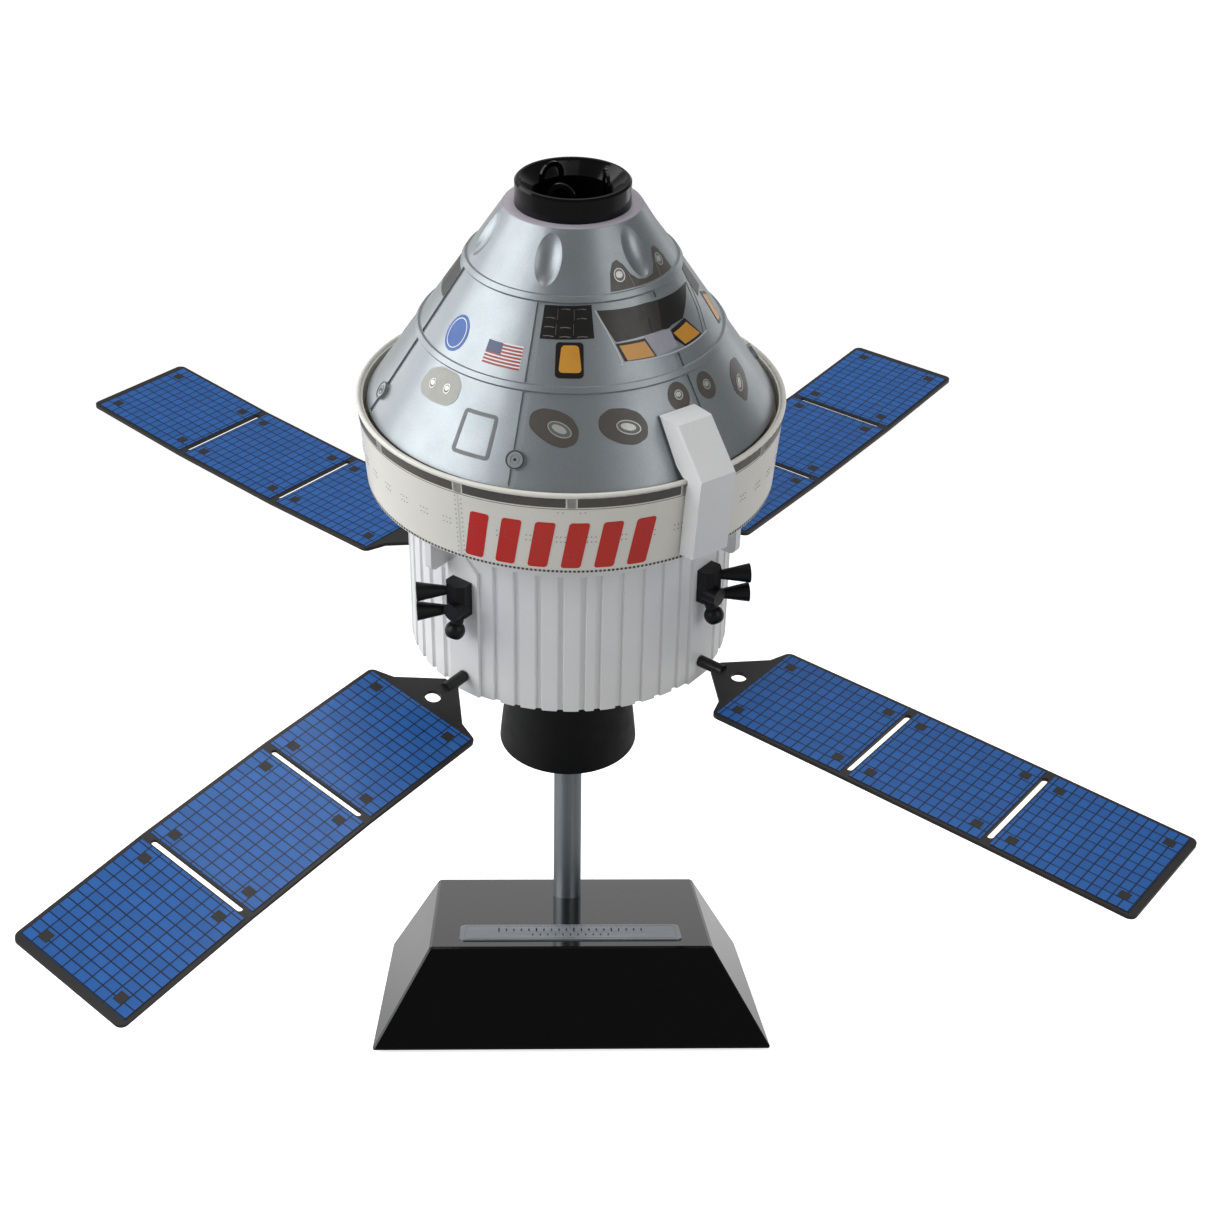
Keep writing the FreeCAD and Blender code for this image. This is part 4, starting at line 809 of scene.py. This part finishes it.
# Dark square pads in the corners of each cell area.
PAD_SIZE = 2.7
PAD_ACROSS = 12.25
PAD_ALONG = (64.5, 94.45, 103.95, 133.75, 143.25, 172.5)
PAD_LIFT = 0.06
pads = [(along, side * PAD_ACROSS, PAD_SIZE, PAD_SIZE) for along in PAD_ALONG for side in (-1, 1)]
for array_name, rise in PLATE_RISES.items():
    shapes = level_shapes(pads, (0, 0, CELL_FACE), PAD_LIFT, bend=follow_plate(rise))
    piece("cell_pads_" + array_name, shapes, MATERIALS["array_plate"], "array_" + array_name,
          array_matrix(array_name))

# ================================================================ floor, light and camera
FLOOR_GLOW = 0.8
TABLE_FRONT = 0.4
TABLE_BACK = 0.62
TABLE_FRONT_Y = -0.08
TABLE_BACK_Y = 0.12
floor_shape = bmesh.new()
bmesh.ops.create_circle(floor_shape, cap_ends=True, segments=64, radius=6,
                        matrix=Matrix.Translation((0, 0, cad_box[0].z)))
floor_mesh = bpy.data.meshes.new("floor")
floor_shape.to_mesh(floor_mesh)
floor_shape.free()
floor = bpy.data.objects.new("floor", floor_mesh)
bpy.context.scene.collection.objects.link(floor)
# Pale seamless paper: seen from the camera it is plain near white; as a light it is bright behind
# the object and falls off towards the front, as the real table does.
material, tree, shader, place = start("pale_paper_floor", Roughness=0.9)
mottle(tree, shader, place, "f6f6f6", "f2f2f2", 60.0, grain=2.0, depth=0.02)
shader.inputs["Emission Color"].default_value = (1, 1, 1, 1)
shader.inputs["Emission Strength"].default_value = FLOOR_GLOW
depth_axis = add(tree, "ShaderNodeSeparateXYZ", {0: place}).outputs[1]
fall = add(tree, "ShaderNodeMapRange",
           {0: depth_axis, 1: TABLE_FRONT_Y, 2: TABLE_BACK_Y, 3: TABLE_FRONT, 4: TABLE_BACK},
           interpolation_type="SMOOTHSTEP")
table = add(tree, "ShaderNodeEmission", {"Strength": fall.outputs[0]})
seen = add(tree, "ShaderNodeLightPath").outputs["Is Camera Ray"]
both = add(tree, "ShaderNodeMixShader", {0: seen, 1: table.outputs[0], 2: shader.outputs[0]})
output = next(n for n in tree.nodes if n.type == "OUTPUT_MATERIAL")
tree.links.new(both.outputs[0], output.inputs["Surface"])
floor_mesh.materials.append(material)

scene = bpy.context.scene
scene.view_settings.view_transform = "Standard"

# Pale room: bright low down behind, dim above and towards the front; plain white as a backdrop.
ROOM_FRONT = 0.17
ROOM_BACK = 0.64
ROOM_AIM = (-0.05, 1.0, -0.1)
ROOM_NEAR = 0.35
ROOM_FAR = 0.92
BACKDROP = 1.05
world = bpy.data.worlds.new("pale_room")
world.use_nodes = True
scene.world = world
tree = world.node_tree
ground = next(n for n in tree.nodes if n.type == "BACKGROUND")
aim = add(tree, "ShaderNodeTexCoord").outputs["Generated"]
room = add(tree, "ShaderNodeVectorMath", {0: aim, 1: ROOM_AIM}, operation="DOT_PRODUCT")
glow = add(tree, "ShaderNodeMapRange",
           {0: room.outputs["Value"], 1: ROOM_NEAR, 2: ROOM_FAR, 3: ROOM_FRONT, 4: ROOM_BACK})
seen = add(tree, "ShaderNodeLightPath").outputs["Is Camera Ray"]
strength = add(tree, "ShaderNodeMix", {0: seen, 2: glow.outputs[0], 3: BACKDROP}, data_type="FLOAT")
tree.links.new(strength.outputs[0], ground.inputs["Strength"])
ground.inputs["Color"].default_value = (1, 1, 1, 1)


def soft_light(name, spot, aim_at, size, radiance, colour="ffffff"):
    """Rectangular soft box: its size in metres and its brightness for each unit of area."""
    lamp = bpy.data.lights.new(name, "AREA")
    lamp.shape = "RECTANGLE"
    lamp.size = size[0]
    lamp.size_y = size[1]
    lamp.energy = radiance * math.pi * size[0] * size[1]
    lamp.color = linear(colour)[:3]
    made = bpy.data.objects.new(name, lamp)
    made.location = spot
    made.rotation_euler = (Vector(aim_at) - Vector(spot)).to_track_quat("-Z", "Y").to_euler()
    scene.collection.objects.link(made)


soft_light("left_box", (-0.95, -0.3, 0.42), (0, 0, 0.12), (1.2, 0.7), 3.6, "fbfdff")
soft_light("right_box", (0.75, -0.75, 0.35), (0, 0, 0.12), (0.6, 0.7), 1.8)
soft_light("top_box", (0.15, -0.15, 1.3), (0.15, 0, 0.1), (0.6, 1.1), 2.0)
soft_light("upper_left_box", (-0.75, 0.15, 1.0), (0, 0, 0.14), (0.6, 0.6), 2.2)
soft_light("back_right_box", (0.9, 0.8, 0.4), (0, 0, 0.14), (0.6, 0.6), 0.9)
soft_light("back_left_box", (-0.9, 0.7, 0.45), (0, 0, 0.14), (0.5, 0.5), 1.6)

camera_data = bpy.data.cameras.new("camera")
camera_data.lens = 62.71
camera_data.sensor_width = 36.0
camera_data.clip_start = 0.01
camera = bpy.data.objects.new("camera", camera_data)
camera_spot = Vector((-14.111, -569.692, 181.907)) * MM
camera_turn = Euler([math.radians(angle) for angle in (82.712, -0.4958, -2.3555)])
camera.matrix_world = Matrix.Translation(camera_spot) @ camera_turn.to_matrix().to_4x4()
scene.collection.objects.link(camera)
scene.camera = camera
